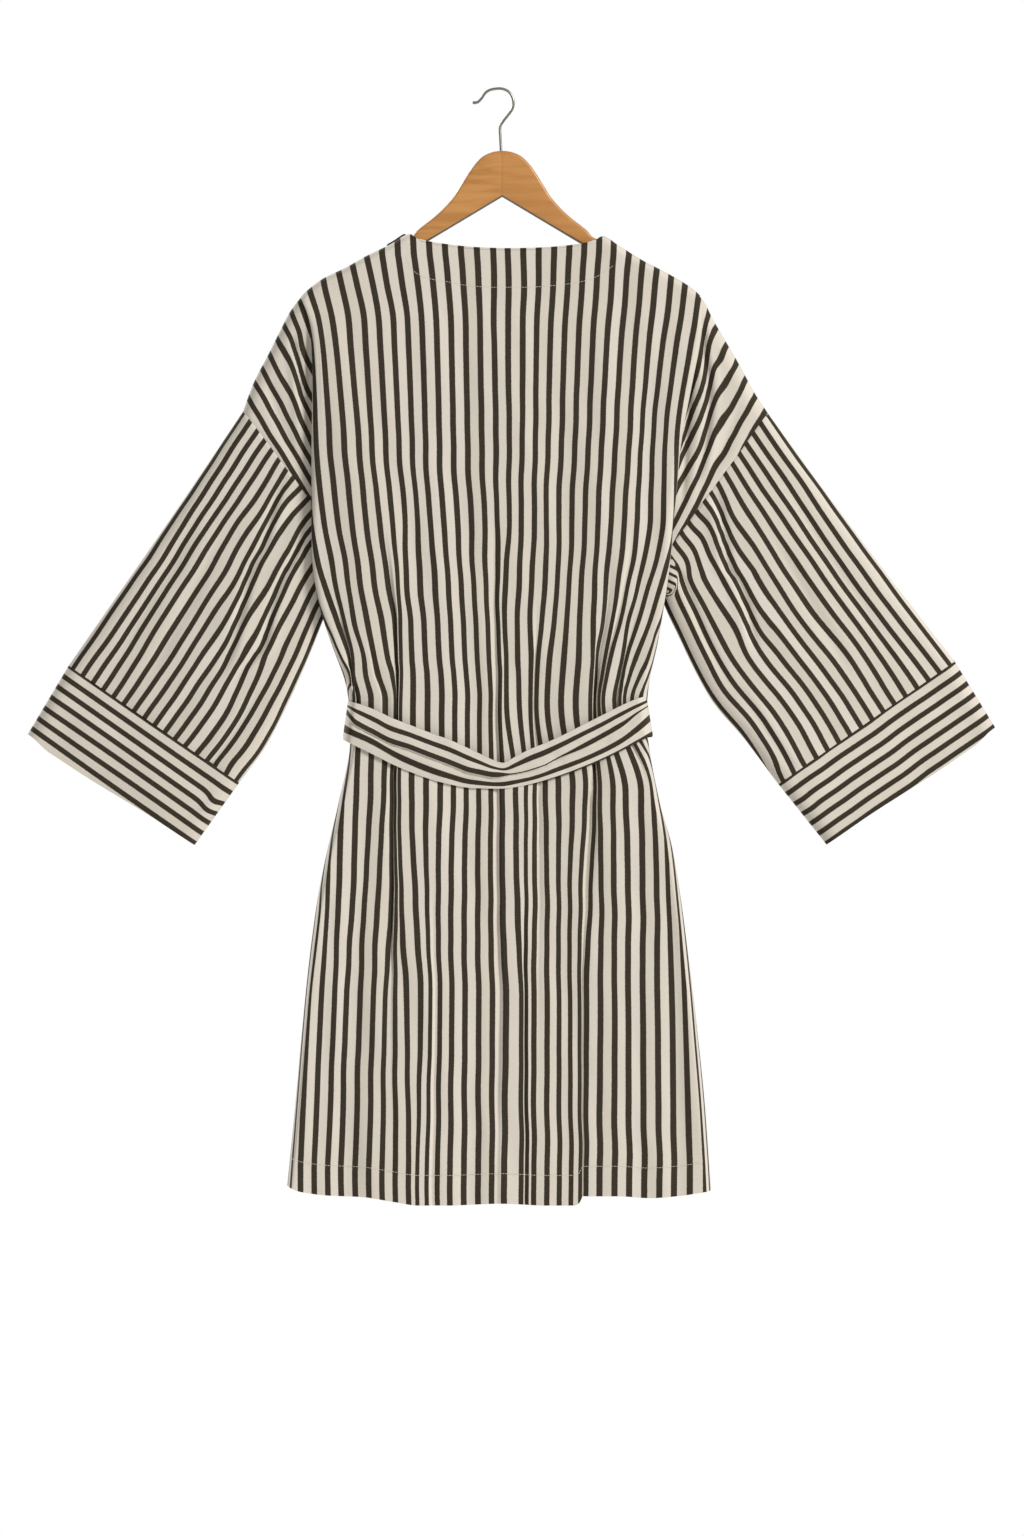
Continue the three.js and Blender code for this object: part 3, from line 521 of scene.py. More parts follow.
def bodyGrid(sizes):
    # rows fall from the shoulders to the hem; columns follow the stripes, then the turned-in sides
    facing, columns, rows, turns = sizes["facing"], sizes.get("columns"), sizes["rows"], 9
    drops = np.array([0, 0.5, 1.2, 2.4, 4.2, 6.4, 9])
    spread = through([0, 0.2, 0.45, 0.72, 1], [0, 0.17, 0.4, 0.61, 1])(np.linspace(0, 1, rows + 1)[1:])
    fall = np.concatenate([drops, 9 + spread])[:, None]
    left = -np.arange(turns, 0, -1) / turns if not sizes.get("freeLeft") else np.array([])
    right = np.arange(1, turns + 1) / turns if not sizes.get("freeRight") else np.array([])
    inner = np.array([])
    if "steady" in sizes:  # columns that stay on the same place of the same stripe all the way down
        low, high = sizes["steady"]
        inner = (np.arange(low, high)[:, None] + [0, 0.25, 0.375, 0.5, 0.625, 0.75, 0.9]).ravel()
        columns = len(inner) + 2 * sizes["outer"]
    share = np.concatenate([0 * left, np.linspace(0, 1, columns), 1 + 0 * right])[None, :]
    turned = np.concatenate([left, np.zeros(columns), right])[None, :]
    share, turned = share + 0 * fall, turned + 0 * fall
    depthName = "back" if facing < 0 else "front"

    def placed(z):
        turn, full = np.radians(bodyAt["turn"](z)), bodyAt[depthName](z)
        start = sizes["freeLeft"](z) if sizes.get("freeLeft") else bodyAt["left"](z) + edgeRound
        end = sizes["freeRight"](z) if sizes.get("freeRight") else bodyAt["right"](z) - edgeRound
        low, high = sizes["numbers"](z, start, end)
        number = blend(low, high, share)
        if len(inner):
            outer = sizes["outer"]
            steps = np.arange(outer) / outer
            first, last = len(left), len(left) + columns
            number[:, first:first + outer] = blend(low[:, first:first + outer], inner[0], steps)
            number[:, first + outer:last - outer] = inner
            number[:, last - outer:last] = blend(high[:, last - outer:last], inner[-1], steps[::-1])
        x = sizes["place"](number, z)
        x = x + (1 - share) ** 6 * (start - sizes["place"](low, z))
        x = x + share ** 6 * (end - sizes["place"](high, z))
        angle = turn * np.abs(turned)
        x = x + np.sign(turned) * edgeRound * np.sin(angle)
        height = (full - bodyAt["tuck"](z)) / (1 - np.cos(turn))
        along = (edgeRound + height) / 2 * angle / pitch * np.sign(turned)
        ease = smooth(share, 0, 0.04) * (1 - smooth(share, 0.96, 1)) if not sizes.get("freeLeft") \
            and not sizes.get("freeRight") else 1
        behind = sizes["lap"](x) if sizes.get("lap") else 0
        folds = foldDepth(number, z, sizes["folds"], sizes["swells"]) * blend(ease, 1, 0.3)
        folds = folds + sizes["stray"] * wander(x, z, sizes["seed"]) * smooth(z, -170, -300)
        folds = np.where(turned == 0, folds, folds * np.cos(angle).clip(0))
        return x, full - height * (1 - np.cos(angle)) - behind - folds, number + along

    z = -700 + 0 * share
    for _ in range(14):
        x = placed(z)[0]
        top, bottom = topLine(x), hemLine(x)
        z = np.where(fall <= 9, top - fall, blend(top - 9, bottom, fall - 9))
    x, depth, number = placed(z)
    x = x + 0.7 * wander(z, x * 0.6, sizes["seed"] + 5, 130) * (turned == 0) * smooth(share, 0, 0.08) \
        * (1 - smooth(share, 0.92, 1))
    y = facing * overShoulder(x, z, depth)
    return np.stack([x, y, z], -1), np.stack([number, -z], -1)


# Creases of the sleeves and shoulders.
creaseShape = {"trough": 0.42, "lipWidth": 0.55, "lipHeight": 0.45}


def crease(width, depth, lip, gather, ends, rows):
    # lip is how far off the raised edge lies, and ends how far up and down the crease fades
    return {"line": route(rows), "width": width, "depth": depth, "lip": lip, "gather": gather, "ends": ends}


def creased(x, z, creases):
    # along each line the cloth sinks, with a soft lip beside it, and the stripes draw together
    sink, shift = 0 * x, 0 * x
    for one in creases:
        line, width = one["line"], one["width"]
        low, high = line["z"].min(), line["z"].max()
        off = x - through(line["z"], line["x"])(z)
        fade = smooth(z, low, low + one["ends"][0]) * (1 - smooth(z, high - one["ends"][1], high))
        trough = np.exp(-((off / (creaseShape["trough"] * width)) ** 2))
        lip = np.exp(-(((off - one["lip"]) / (creaseShape["lipWidth"] * width)) ** 2))
        sink = sink + one["depth"] * fade * trough - creaseShape["lipHeight"] * one["depth"] * fade * lip
        shift = shift + one["gather"] * fade * off / width * np.exp(0.5 - 0.5 * (off / width) ** 2)
    return sink, shift


def evenStripes(number, grid, ring=False):
    # every dark stripe keeps its full width, also where creases draw the stripes together or apart
    def across(values):
        if ring:
            return (np.roll(values, -1, 1) - np.roll(values, 1, 1)) / 2
        return np.gradient(values, axis=1)

    points = grid[..., [0, 2]]
    ni, nj = np.gradient(number, axis=0), across(number)
    pi, pj = np.gradient(points, axis=0), across(points)
    ii, jj, ij = (pi * pi).sum(-1), (pj * pj).sum(-1), (pi * pj).sum(-1)
    area = np.maximum(ii * jj - ij ** 2, 1e-6)
    steep = np.sqrt(np.maximum(ni ** 2 * jj - 2 * ni * nj * ij + nj ** 2 * ii, 0) / area)
    whole = np.round(number)
    off = number - whole
    half = stripeLook["darkShare"] / 2
    reach = np.clip(stripeLook["darkHalf"] * steep, stripeLook["least"], stripeLook["most"])
    size = np.abs(off)
    size = np.where(size < reach, size * half / reach, half + (0.5 - half) * (size - reach) / (0.5 - reach))
    return whole + np.sign(off) * size


# Drop shoulders.  The stripes of each run from its outer fold to the body's side fold,
# at these places by their number.
shoulders = {
    "left": {
        "top": route([[-206, -216], [-218, -226], [-232, -244], [-243, -265], [-256, -291],
                      [-272, -322], [-284, -354]]),
        "end": route([[-176, -256], [-167, -509]]),
        "outer": table("number x z", [[-2, -301, -388], [1, -277.2, -340.8], [8, -221.7, -230.5],
                                      [11, -198, -183]]),
        "inner": table("number x z", [[-2, -210, -517], [1, -210, -451], [4, -209.5, -385], [6, -209, -331],
                                      [8, -206.4, -274.5], [11, -206, -192]]),
        "creases": [
            crease(8, 2.6, -8, 0.26, (40, 25), [[-229, -262], [-227.5, -279], [-223.3, -298],
                                                [-221.5, -315], [-220, -335], [-214, -365]]),
            crease(10, 3.6, -14, 0, (60, 30), [[-211, -262], [-210, -340], [-210, -420]]),
            crease(16, 1.5, -14, 0, (40, 20), [[-258, -318], [-244, -362], [-226, -408], [-215, -436]]),
        ],
    },
    "right": {
        "top": route([[208, -218], [222, -231], [233, -252], [244, -271], [262, -302], [280, -335],
                      [294, -356]]),
        "end": route([[182, -258], [167, -531]]),
        "outer": table("number x z", [[-2, 321.6, -407.5], [1, 290.4, -353.5], [6, 238.4, -263.5],
                                      [11, 186.4, -173.5]]),
        "inner": table("number x z", [[-2, 180, -622], [1, 186, -534], [3, 191.4, -475], [4, 194, -437],
                                      [5, 195.4, -411.5], [6, 199, -387], [8, 203, -335], [11, 210, -250]]),
        "creases": [
            crease(9, 2.8, 9, -0.25, (60, 15), [[225, -250], [223.3, -267], [222.2, -289],
                                                [226.6, -311], [228.4, -339.5], [226.4, -373.5],
                                                [223.3, -395.5], [216.4, -425.5], [212.3, -433.4],
                                                [204, -455]]),
            crease(9, 3.4, 12, 0, (60, 30), [[209, -290], [205, -360], [201, -420], [197, -480]]),
            crease(16, 1.5, 14, 0, (40, 20), [[262, -340], [246, -388], [228, -430]]),
        ],
    },
}
sleeveSizes = {"depth": 10.6, "bulge": 4, "round": 16, "seam": 0.6}


def roundedDepth(inward, depth):
    edge = np.clip(inward / sleeveSizes["round"], 0, 1)
    return depth * np.sqrt(1 - (1 - edge) ** 2)


def betweenRails(x, z, outer, inner):
    # the stripe through a point, when each runs from one rail to the other
    rails = [curvesOf(outer, "number"), curvesOf(inner, "number")]
    number = 4 + 0 * x

    def miss(n):
        ox, oz, ix, iz = rails[0]["x"](n), rails[0]["z"](n), rails[1]["x"](n), rails[1]["z"](n)
        return (x - ox) * (iz - oz) - (z - oz) * (ix - ox)

    for _ in range(12):
        slope = (miss(number + 0.01) - miss(number)) / 0.01
        step = miss(number) / np.where(np.abs(slope) < 1, 1, slope)
        number = np.clip(number - np.clip(step, -1.5, 1.5), -1.9, 10.9)
    return number


def capGrid(sizes, facing, rows=84, columns=66):
    i, j = np.meshgrid(np.linspace(0, 1, rows), np.linspace(0, 1, columns), indexing="ij")
    top, end = pathOf(sizes["top"])(i), pathOf(sizes["end"])(i)
    c = blend(j ** 2, j, 0.3)
    width = np.hypot(*np.moveaxis(end - top, -1, 0))
    flat = top + (end - top) * c[..., None]
    x, z = flat[..., 0], flat[..., 1]
    sink, shift = creased(x, z, sizes["creases"])
    depth = roundedDepth(c * width, sleeveSizes["depth"])
    depth = depth - (sink - 0.5 * wander(x, z, 11)) * smooth(c * width, 3, 26)
    depth = depth - 0.7 * smooth(i, 0.975, 1) * smooth(c * width, 1, 8)  # the seam draws the edge down
    number = betweenRails(x, z, sizes["outer"], sizes["inner"]) + shift + 0.05 * wander(z, x, 21, 70)
    grid = np.stack([x, facing * np.maximum(depth, 0.15), z], -1)
    return grid, np.stack([evenStripes(number, grid), -x - z], -1)


def bodyPiece(name, sizes, sides):
    grid, uv = bodyGrid(sizes)
    parts = [wallPart(grid, uv, sizes["facing"], facing=sizes["facing"])]
    if sizes.get("roll"):  # the turned and rolled edge of the neck
        low, high, radius, lean, rise = sizes["roll"]
        here = (grid[0, :, 0] > low) & (grid[0, :, 0] < high)
        number = uv[0, here, 0] if sizes["facing"] < 0 else 0 * grid[0, here, 0]
        parts.append(rollPart(grid[0][here] + [0, lean, rise], radius, number))
    for side in sides:
        capPoints, capUv = capGrid(shoulders[side], sizes["facing"])
        outward = sizes["facing"] if side == "left" else -sizes["facing"]
        parts.append(wallPart(capPoints, capUv, outward, facing=sizes["facing"]))
    return meshPiece(name, parts, striped), grid


def sideNumbers(side, sign):  # the stripe number at a side of the back, at each height
    edge = bodyAt[side](stripeLevels) + sign * edgeRound
    return through(stripeLevels, [np.interp(x, row, stripeSteps) for x, row in zip(edge, stripesAt)])


lowNumber, highNumber = sideNumbers("left", 1), sideNumbers("right", -1)


def backNumbers(z, start, end):
    return lowNumber(z), highNumber(z)


def rollPart(line, radius, number, sides=10, taper=3):
    # a thin roll of cloth along a line of points, closed at its ends
    along = unit(np.gradient(line, axis=0))
    across = unit(np.cross(along, [0, 1, 0]))
    up = np.cross(across, along)
    run = lengths(line)
    near = np.clip(np.minimum(run, run[-1] - run) / taper, 0.05, 1)
    turn = np.linspace(0, 2 * math.pi, sides, endpoint=False)[None, :, None]
    rim = (radius * np.sqrt(np.clip(1 - (1 - near) ** 2, 0, 1)))[:, None, None]
    grid = line[:, None] + rim * (across[:, None] * np.cos(turn) + up[:, None] * np.sin(turn))
    uv = np.stack([number, run], 1)
    return cappedRings(grid, line[[0, -1]], np.repeat(uv[:, None], sides, 1), uv[[0, -1]])


back = {"facing": -1, "steady": (-12, 12), "outer": 21, "rows": 154, "folds": backFolds,
        "swells": backSwells, "stray": 0.9, "seed": 3, "place": stripePlace, "numbers": backNumbers,
        "roll": (-92, 105, 1.3, 0.6, -0.4)}
backPiece, backGrid = bodyPiece("robe_back", back, ["left", "right"])
print("back made")

# The fronts.  Their stripes stand closer at the tied waist.
frontPitch = through([-1225, -900, -715, -560, -160], [14.6, 14.2, 12.6, 14.2, 15.4])


def frontPlace(number, z):
    return cloth["neckMiddle"] + (number - 0.35) * frontPitch(z)


def frontNumbers(z, start, end):
    return [(edge - cloth["neckMiddle"]) / frontPitch(z) + 0.35 for edge in (start, end)]


def farEdge(z):
    return 2 * cloth["neckMiddle"] - edgeAt(z)


leftFrontFolds = [
    (1, 1.2, foldRows([[-300, -10.6, 0], [-560, -10.4, 5], [-680, -10, 6.5], [-800, -9.6, 7],
                       [-1000, -10.6, 6], [-1225, -11.2, 4]])),
    (-1, 1.0, foldRows([[-600, -3, 0], [-680, -3.4, 4], [-780, -3.4, 5], [-960, -3.4, 4],
                        [-1225, -3.6, 3]])),
    (1, 0.9, foldRows([[-600, 0.6, 0], [-700, 0.6, 3.5], [-800, 0.6, 4.5], [-980, 0.8, 3.5],
                       [-1225, 0.8, 3]])),
    (-1, 0.8, foldRows([[-540, -6.6, 0], [-650, -7, 3.5], [-740, -7, 4], [-860, -7, 2], [-1225, -7, 1]])),
]
rightFrontFolds = [
    (-1, 1.2, foldRows([[-300, 10.4, 0], [-560, 10.2, 5], [-680, 9.9, 6.5], [-800, 9.6, 7],
                        [-1000, 10.4, 6], [-1225, 10.9, 4]])),
    (1, 0.8, foldRows([[-540, 6.4, 0], [-650, 6.8, 3.5], [-740, 6.8, 4.5], [-860, 6.9, 2.5],
                       [-1225, 6.9, 1]])),
    (1, 1.0, foldRows([[-620, 8.4, 0], [-700, 8.3, 3], [-800, 8.2, 2], [-900, 8.2, 0]])),
]
frontSwells = [
    (1.5, foldRows([[-240, -8.5, 0], [-400, -8.4, 2], [-560, -8, 1.5], [-700, -8, 0]])),
    (1.5, foldRows([[-240, 8.5, 0], [-380, 8.2, 2.2], [-540, 8, 1.4], [-700, 8, 0]])),
    (1.6, foldRows([[-800, -13, 0], [-950, -13, 2.4], [-1225, -13.2, 2.6]])),
    (1.6, foldRows([[-800, 13, 0], [-950, 13, 2.4], [-1225, 13.2, 2.6]])),
]


def lapBehind(x):
    return 3.4 * (1 - smooth(x, 84, 118))


frontLeft = {"facing": 1, "columns": 130, "rows": 150, "folds": leftFrontFolds, "swells": frontSwells,
             "stray": 0.9, "seed": 8, "place": frontPlace, "numbers": frontNumbers, "freeRight": edgeAt,
             "roll": (-126, -97, 1.5, 1.6, 1)}
frontRight = {"facing": 1, "columns": 130, "rows": 150, "folds": rightFrontFolds, "swells": frontSwells,
              "stray": 0.9, "seed": 9, "place": frontPlace, "numbers": frontNumbers, "freeLeft": farEdge,
              "lap": lapBehind}
frontLeftPiece, frontLeftGrid = bodyPiece("robe_front_left", frontLeft, ["left"])
frontRightPiece, frontRightGrid = bodyPiece("robe_front_right", frontRight, ["right"])
print("fronts made")


# Sleeves and cuffs.
sleeveShapes = {
    "left": {
        "top": route([[-284, -354], [-350, -452], [-475.5, -633]]),
        "under": route([[-167, -509], [-186, -557], [-200, -594], [-216, -634], [-235, -676],
                        [-259, -722], [-288, -762]]),
        "cuff": ((-520.5, -708.5), (-337, -830.5)),
        "stripes": table("t first last", [[0, -0.05, 14.6], [0.15, -0.12, 15.6], [0.3, -0.2, 16.1],
                                          [1, -0.42, 16.2]]),
        "cuffPitch": (13.3, 13.8), "pinch": 1.6, "bulge": 0.12,
        "creases": [
            crease(13, 3.2, 10, 0.3, (60, 50), [[-234, -408], [-238.7, -425], [-248.4, -451],
                                                [-255, -476.5], [-261, -502], [-274, -525],
                                                [-280.6, -547.5], [-285.5, -573], [-292, -599],
                                                [-303, -631], [-318, -664]]),
            crease(12, 3.6, 9, 0.32, (50, 45), [[-205, -462], [-211, -476.5], [-229, -515],
                                                [-245, -547.5], [-255, -580], [-261, -609],
                                                [-284, -638], [-300, -662]]),
            crease(14, 1.8, -10, 0.2, (20, 50), [[-262, -650], [-290, -700], [-314, -734], [-330, -756]]),
            crease(22, 1.7, 18, 0.12, (60, 60), [[-322, -440], [-352, -505], [-392, -572], [-432, -640]]),
            crease(20, 1.5, -16, -0.1, (60, 60), [[-300, -470], [-334, -545], [-372, -620],
                                                  [-398, -668]]),
        ],
    },
    "right": {
        "top": route([[294, -356], [358, -444], [426, -534.5], [499, -628.5]]),
        "under": route([[167, -531], [181, -570], [195, -600], [213, -638], [233, -673], [267, -713],
                        [305, -763.5]]),
        "cuff": ((543.5, -701), (358, -830)),
        "stripes": table("t first last", [[0, -0.05, 15.9], [0.25, -0.15, 16.14], [0.7, -0.35, 16.12],
                                          [0.85, -0.4, 15.92], [1, -0.45, 15.4]]),
        "cuffPitch": (13.9, 13.9), "pinch": 0.3, "bulge": 0.34,
        "ladder": (184, -536, 12, 8.7),
        "creases": [
            crease(13, 3.2, -9, -0.3, (40, 40), [[231, -430], [237, -447.5], [242, -475],
                                                 [246.4, -502], [249.7, -528], [257.7, -538],
                                                 [265.8, -554], [270.6, -573], [275.5, -596],
                                                 [284, -626]]),
            crease(12, 2.6, -9, -0.16, (60, 20), [[188, -520], [203, -548], [220, -592], [240, -634],
                                                  [262, -672]]),
            crease(15, 2, 10, -0.1, (20, 50), [[250, -640], [282, -690], [312, -736], [326, -756]]),
            crease(22, 1.7, -18, -0.1, (60, 60), [[306, -425], [352, -505], [398, -572], [442, -640]]),
            crease(20, 1.5, 16, 0.1, (60, 60), [[286, -470], [330, -548], [372, -625], [392, -668]]),
        ],
    },
}


def tubeGrid(top, under, shares, columns, bulge, dented):
    # a flat tube in rings: its outer fold, the back side, its under fold and the front side
    t = shares[:, None] + np.zeros((1, 2 * columns))
    k = np.arange(2 * columns)[None, :] + 0 * t
    c = 0.5 - 0.5 * np.cos(math.pi * k / columns)
    side = np.where(k < columns, -1, 1)
    a, b = top(t), under(t)
    width = np.hypot(*np.moveaxis(b - a, -1, 0))
    flat = a + (b - a) * c[..., None]
    middle = np.sin(math.pi * c)
    full = sleeveSizes["depth"] + bulge * np.sin(math.pi * t.clip(0)) * middle
    inward = np.minimum(c, 1 - c) * width
    depth = roundedDepth(inward, full) - dented(t, c, side, flat) * smooth(inward, 3, 26)
    return t, c, np.stack([flat[..., 0], side * np.maximum(depth, 0.15), flat[..., 1]], -1)


def foldExcess(inward):  # how much longer the cloth is round a fold than it looks from the front
    turn = np.linspace(0, math.pi / 2, 60)
    reach, height = sleeveSizes["round"] * (1 - np.cos(turn)), sleeveSizes["depth"] * np.sin(turn)
    run = lengths(np.stack([reach, height], 1))
    return np.interp(inward, reach, run[-1] - run - (reach[-1] - reach))


def sleeveGrid(sizes):
    top, under = pathOf(sizes["top"]), pathOf(sizes["under"])
    start, end = top(np.array(0.0)), top(np.array(1.0))
    along = (end - start) / np.linalg.norm(end - start)

    def dented(t, c, side, flat):
        sink, _ = creased(flat[..., 0], flat[..., 1], sizes["creases"])
        stray = wander(flat[..., 0] * 0.6, flat[..., 1], 31, 80)
        return sink + 0.6 * stray + 0.4 * side + 0.5 * smooth(t, 0.985, 1)

    t, c, grid = tubeGrid(top, under, np.linspace(0, 1, 124), 150, sleeveSizes["bulge"], dented)
    flat = grid[..., [0, 2]]
    rows = curvesOf(sizes["stripes"], "t")
    number = blend(rows["first"](t), rows["last"](t), c)
    shift = creased(flat[..., 0], flat[..., 1], sizes["creases"])[1]
    number = number + shift * smooth(np.minimum(c, 1 - c), 0, 0.06)
    number = number + 0.05 * wander(flat[..., 1], flat[..., 0], 41, 120)
    bulge = sizes["bulge"] * np.exp(-(((t - 0.085) / 0.06) ** 2)) * smooth(c, 0.4, 0.7)
    number = evenStripes(number + bulge * smooth(1 - c, 0, 0.08), grid, ring=True)
    width = np.hypot(*np.moveaxis(under(t) - top(t), -1, 0))
    number = number + (foldExcess((1 - c) * width) - foldExcess(c * width)) / pitch
    if "ladder" in sizes:  # the cloth is bunched under the arm
        x, z, size, step = sizes["ladder"]
        near = 1 - smooth(np.hypot(flat[..., 0] - x, (flat[..., 1] - z) * 0.55), size * 0.75, size)
        number = blend(number, 15.5 + (z - flat[..., 1] - 0.5 * (flat[..., 0] - x)) / step, near)
    return tucked(grid, np.stack([number, (flat - start) @ along], -1))


def tucked(grid, uv):  # a narrow first ring that passes under the piece before it
    first = grid[:1].copy()
    back = grid[:1] - grid[1:2]
    back /= np.linalg.norm(back[..., [0, 2]].mean(1)) + 1e-9
    first = first + back * 2.2
    first[..., 1] *= 0.84
    return np.concatenate([first, grid]), np.concatenate([uv[:1], uv])


def cuffGrid(sizes):
    start = [np.array([sizes[edge]["x"][-1], sizes[edge]["z"][-1]]) for edge in ("top", "under")]
    end = [np.array(corner, float) for corner in sizes["cuff"]]
    length = np.linalg.norm(end[0] - start[0])

    def edge(k):
        first = sleeveSizes["seam"] / length
        return lambda t: start[k] + (end[k] - start[k]) * blend(first, 1, t)[..., None]

    def dented(t, c, side, flat):
        pinch = np.exp(-(((c - 0.93 + 0.2 * (t - 0.45)) / 0.03) ** 2 + ((t - 0.5) / 0.3) ** 2))
        trough = 1.6 * np.exp(-(((c - 0.4) / 0.14) ** 2)) + 1.2 * np.exp(-(((c - 0.16) / 0.07) ** 2))
        return sizes["pinch"] * pinch + trough + 0.6 * wander(flat[..., 0], flat[..., 1], 51, 110)

    t, c, grid = tubeGrid(edge(0), edge(1), np.linspace(0, 1, 48), 92, 1, dented)
    seam = unit(start[1] - start[0])
    outward = np.array([-seam[1], seam[0]])
    if np.dot(end[0] - start[0], outward) < 0:
        outward = -outward
    hang = 3.6 * smooth(t, 0.5, 1) * smooth(c, 0.02, 0.14) * (1 - smooth(c, 0.3, 0.8))
    grid[..., 0] += outward[0] * hang
    grid[..., 2] += outward[1] * hang
    flat = grid[..., [0, 2]]
    away = (flat - start[0]) @ outward
    number = away / blend(sizes["cuffPitch"][0], sizes["cuffPitch"][1], c)
    number = number + 0.05 * wander(flat[..., 0] + flat[..., 1], away, 61, 150)
    pinched = np.exp(-(((c - 0.95) / 0.04) ** 2 + ((t - 0.42) / 0.16) ** 2))
    number = evenStripes(number - 0.2 * sizes["pinch"] * pinched, grid, ring=True)
    return tucked(grid, np.stack([number, (flat - start[0]) @ seam], -1))


limbs = {}
for side, sizes in sleeveShapes.items():
    outward = -1 if side == "left" else 1
    for part, made in (("sleeve", sleeveGrid(sizes)), ("cuff", cuffGrid(sizes))):
        limbs[part, side] = meshPiece(f"robe_{part}_{side}", [wallPart(*made, outward, ring=True)], striped)
print("sleeves and cuffs made")


# The belt.
beltSizes = {"depth": (24.3, 25), "corner": 10, "wall": 1.8, "layer": 2.8, "from": -161, "to": 157}
# Down from the belt's top edge: its three stripes, its lower edge, and the stripe number there.
beltBack = table("x top first second third bottom last", [
    [-171, -672, 6, 12, 30, 38, 2.6], [-158, -675.5, 9, 21, 38, 46, 2.6],
    [-140, -682, 11, 24, 41, 49.5, 2.6], [-123, -690, 12, 25, 42.5, 51, 2.6],
    [-99, -699, 11, 24, 42, 51, 2.6], [-75, -708, 11, 24.3, 41, 50, 2.6],
    [-57, -714.5, 11, 24.5, 40.3, 49, 2.6], [-40, -722, 11, 24, 36.5, 43.5, 2.5],
    [-22, -730.5, 10.2, 20, 32, 37, 2.45], [-8, -737, 9.3, 16, 26, 31, 2.4],
    [2, -740, 8, 13, 24, 28.5, 2.4], [17, -732.5, 9.5, 19, 26.5, 33, 2.6],
    [32, -725, 9.6, 23, 29, 37.5, 2.85], [47, -719, 9.6, 24, 31, 41, 2.9],
    [65, -711, 9.4, 22.5, 33.5, 44.5, 2.95], [89, -699.5, 9.7, 23, 37, 47, 3],
    [112, -689, 9.9, 22, 37.6, 48.5, 3], [136, -678, 9, 20, 35.5, 46.5, 3],
    [154, -670.5, 8, 15, 29, 45, 3], [167, -666.5, 6, 11, 25, 45, 3],
])
beltLow = table("x third bottom", [
    [-173, -701.5, -713.5], [-142.4, -714, -728.8], [-105, -735.9, -747.5], [-63.4, -752.9, -762],
    [-30.2, -761.2, -767.8], [-1.1, -763.2, -768.4], [28, -759.3, -764.6], [61.2, -748.6, -756],
    [94.5, -735.9, -744], [127.7, -720.2, -729], [150, -705, -717.5], [167, -690.5, -709],
])
beltFront = table("x top first second third bottom last", [
    [-171, -672, 6, 12, 30, 38, 2.6], [-110, -682, 9, 20, 32, 40, 2.7], [-30, -692, 9, 20, 32, 40, 2.7],
    [0, -694, 9, 20, 32, 40, 2.7], [30, -692, 9, 20, 32, 40, 2.7], [110, -680, 9, 20, 32, 40, 2.8],
    [167, -666.5, 6, 11, 25, 45, 3.1],
])


def beltGrid():
    faces = [curvesOf(beltBack, "x"), curvesOf(beltFront, "x")]
    low, high, corner = beltSizes["from"], beltSizes["to"], beltSizes["corner"]
    run = np.linspace(low, high, 150)
    bend = np.arange(1, 12) * math.pi / 12
    x = np.concatenate([run, high + corner * np.sin(bend), run[::-1], low - corner * np.sin(bend)])
    off = np.concatenate([1 + 0 * run, np.cos(bend), -1 + 0 * run, -np.cos(bend)])
    share = np.linspace(0, 1, 44)[:, None] + 0 * x[None, :]
    x, off = x[None, :] + 0 * share, off[None, :] + 0 * share
    isBack = off > 0
    side = {name: np.where(isBack, faces[0][name](x), faces[1][name](x)) for name in faces[0]}
    for name in ("third", "bottom"):  # these hang in one smooth curve, below the kink of the top edge
        side[name] = np.where(isBack, side["top"] - through(beltLow["x"], beltLow[name])(x), side[name])
    down = share * side["bottom"]
    # the second stripe narrows to a crease on the right
    thin = smooth(x, -6, 14) * isBack
    spread = blend(4.2, 0.9, thin) + 3.3 * smooth(x, 54, 100) * (1 - smooth(x, 128, 166)) * isBack
    knots = [0 * x, side["first"], side["second"] - spread, side["second"] + spread, side["third"],
             side["bottom"]]
    knots[2] = np.maximum(knots[2], knots[1] + 0.5)
    knots[3] = np.minimum(knots[3], knots[4] - 0.5)
    numbers = [-0.8 + 0 * x, 0 * x, 0.7 + 0 * x, 1.3 + 0 * x, 2 + 0 * x, side["last"]]
    number = numbers[0]
    for k in range(5):
        span = np.clip((down - knots[k]) / np.maximum(knots[k + 1] - knots[k], 0.1), 0, 1)
        number = number + (numbers[k + 1] - numbers[k]) * span
    z = side["top"] - down
    inner = smooth(number, 1.2, 1.3)  # the lower layer begins under the second stripe
    puff = np.sin(math.pi * np.clip(share, 0, 1)) ** 0.6
    waist = np.exp(-((x / 30) ** 2)) * isBack
    rise = puff * 1.1 - beltSizes["layer"] * inner * (isBack * 0.9 + 0.1)
    rise = rise + 1.6 * np.exp(-(((number - 1.7) / 0.45) ** 2)) * isBack
    rise = rise - 1.0 * waist * np.sin(math.pi * share * 3) + 0.5 * wander(x, z * 3, 71, 60)
    rise = rise - 0.9 * thin * np.exp(-(((down - side["second"]) / 2.2) ** 2))
    depth = np.where(isBack, beltSizes["depth"][0], beltSizes["depth"][1]) + rise
    x = x + smooth(x, 60, 165) * blend(-7, 0, share) - smooth(x, -60, -170) * blend(-2.7, 2.8, share)
    return np.stack([x, -off * depth, z], -1), np.stack([number, x * np.sign(off + 1e-6)], -1)


beltPoints, beltUv = beltGrid()
beltWall = wallPart(beltPoints, beltUv, -1, ring=True, wall=beltSizes["wall"])
beltPiece = meshPiece("belt_round_waist", [beltWall], striped)

knotSizes = {"x": 2, "y": 33.3, "z": -714, "wide": 19.4, "deep": 7.8, "high": 18.4}


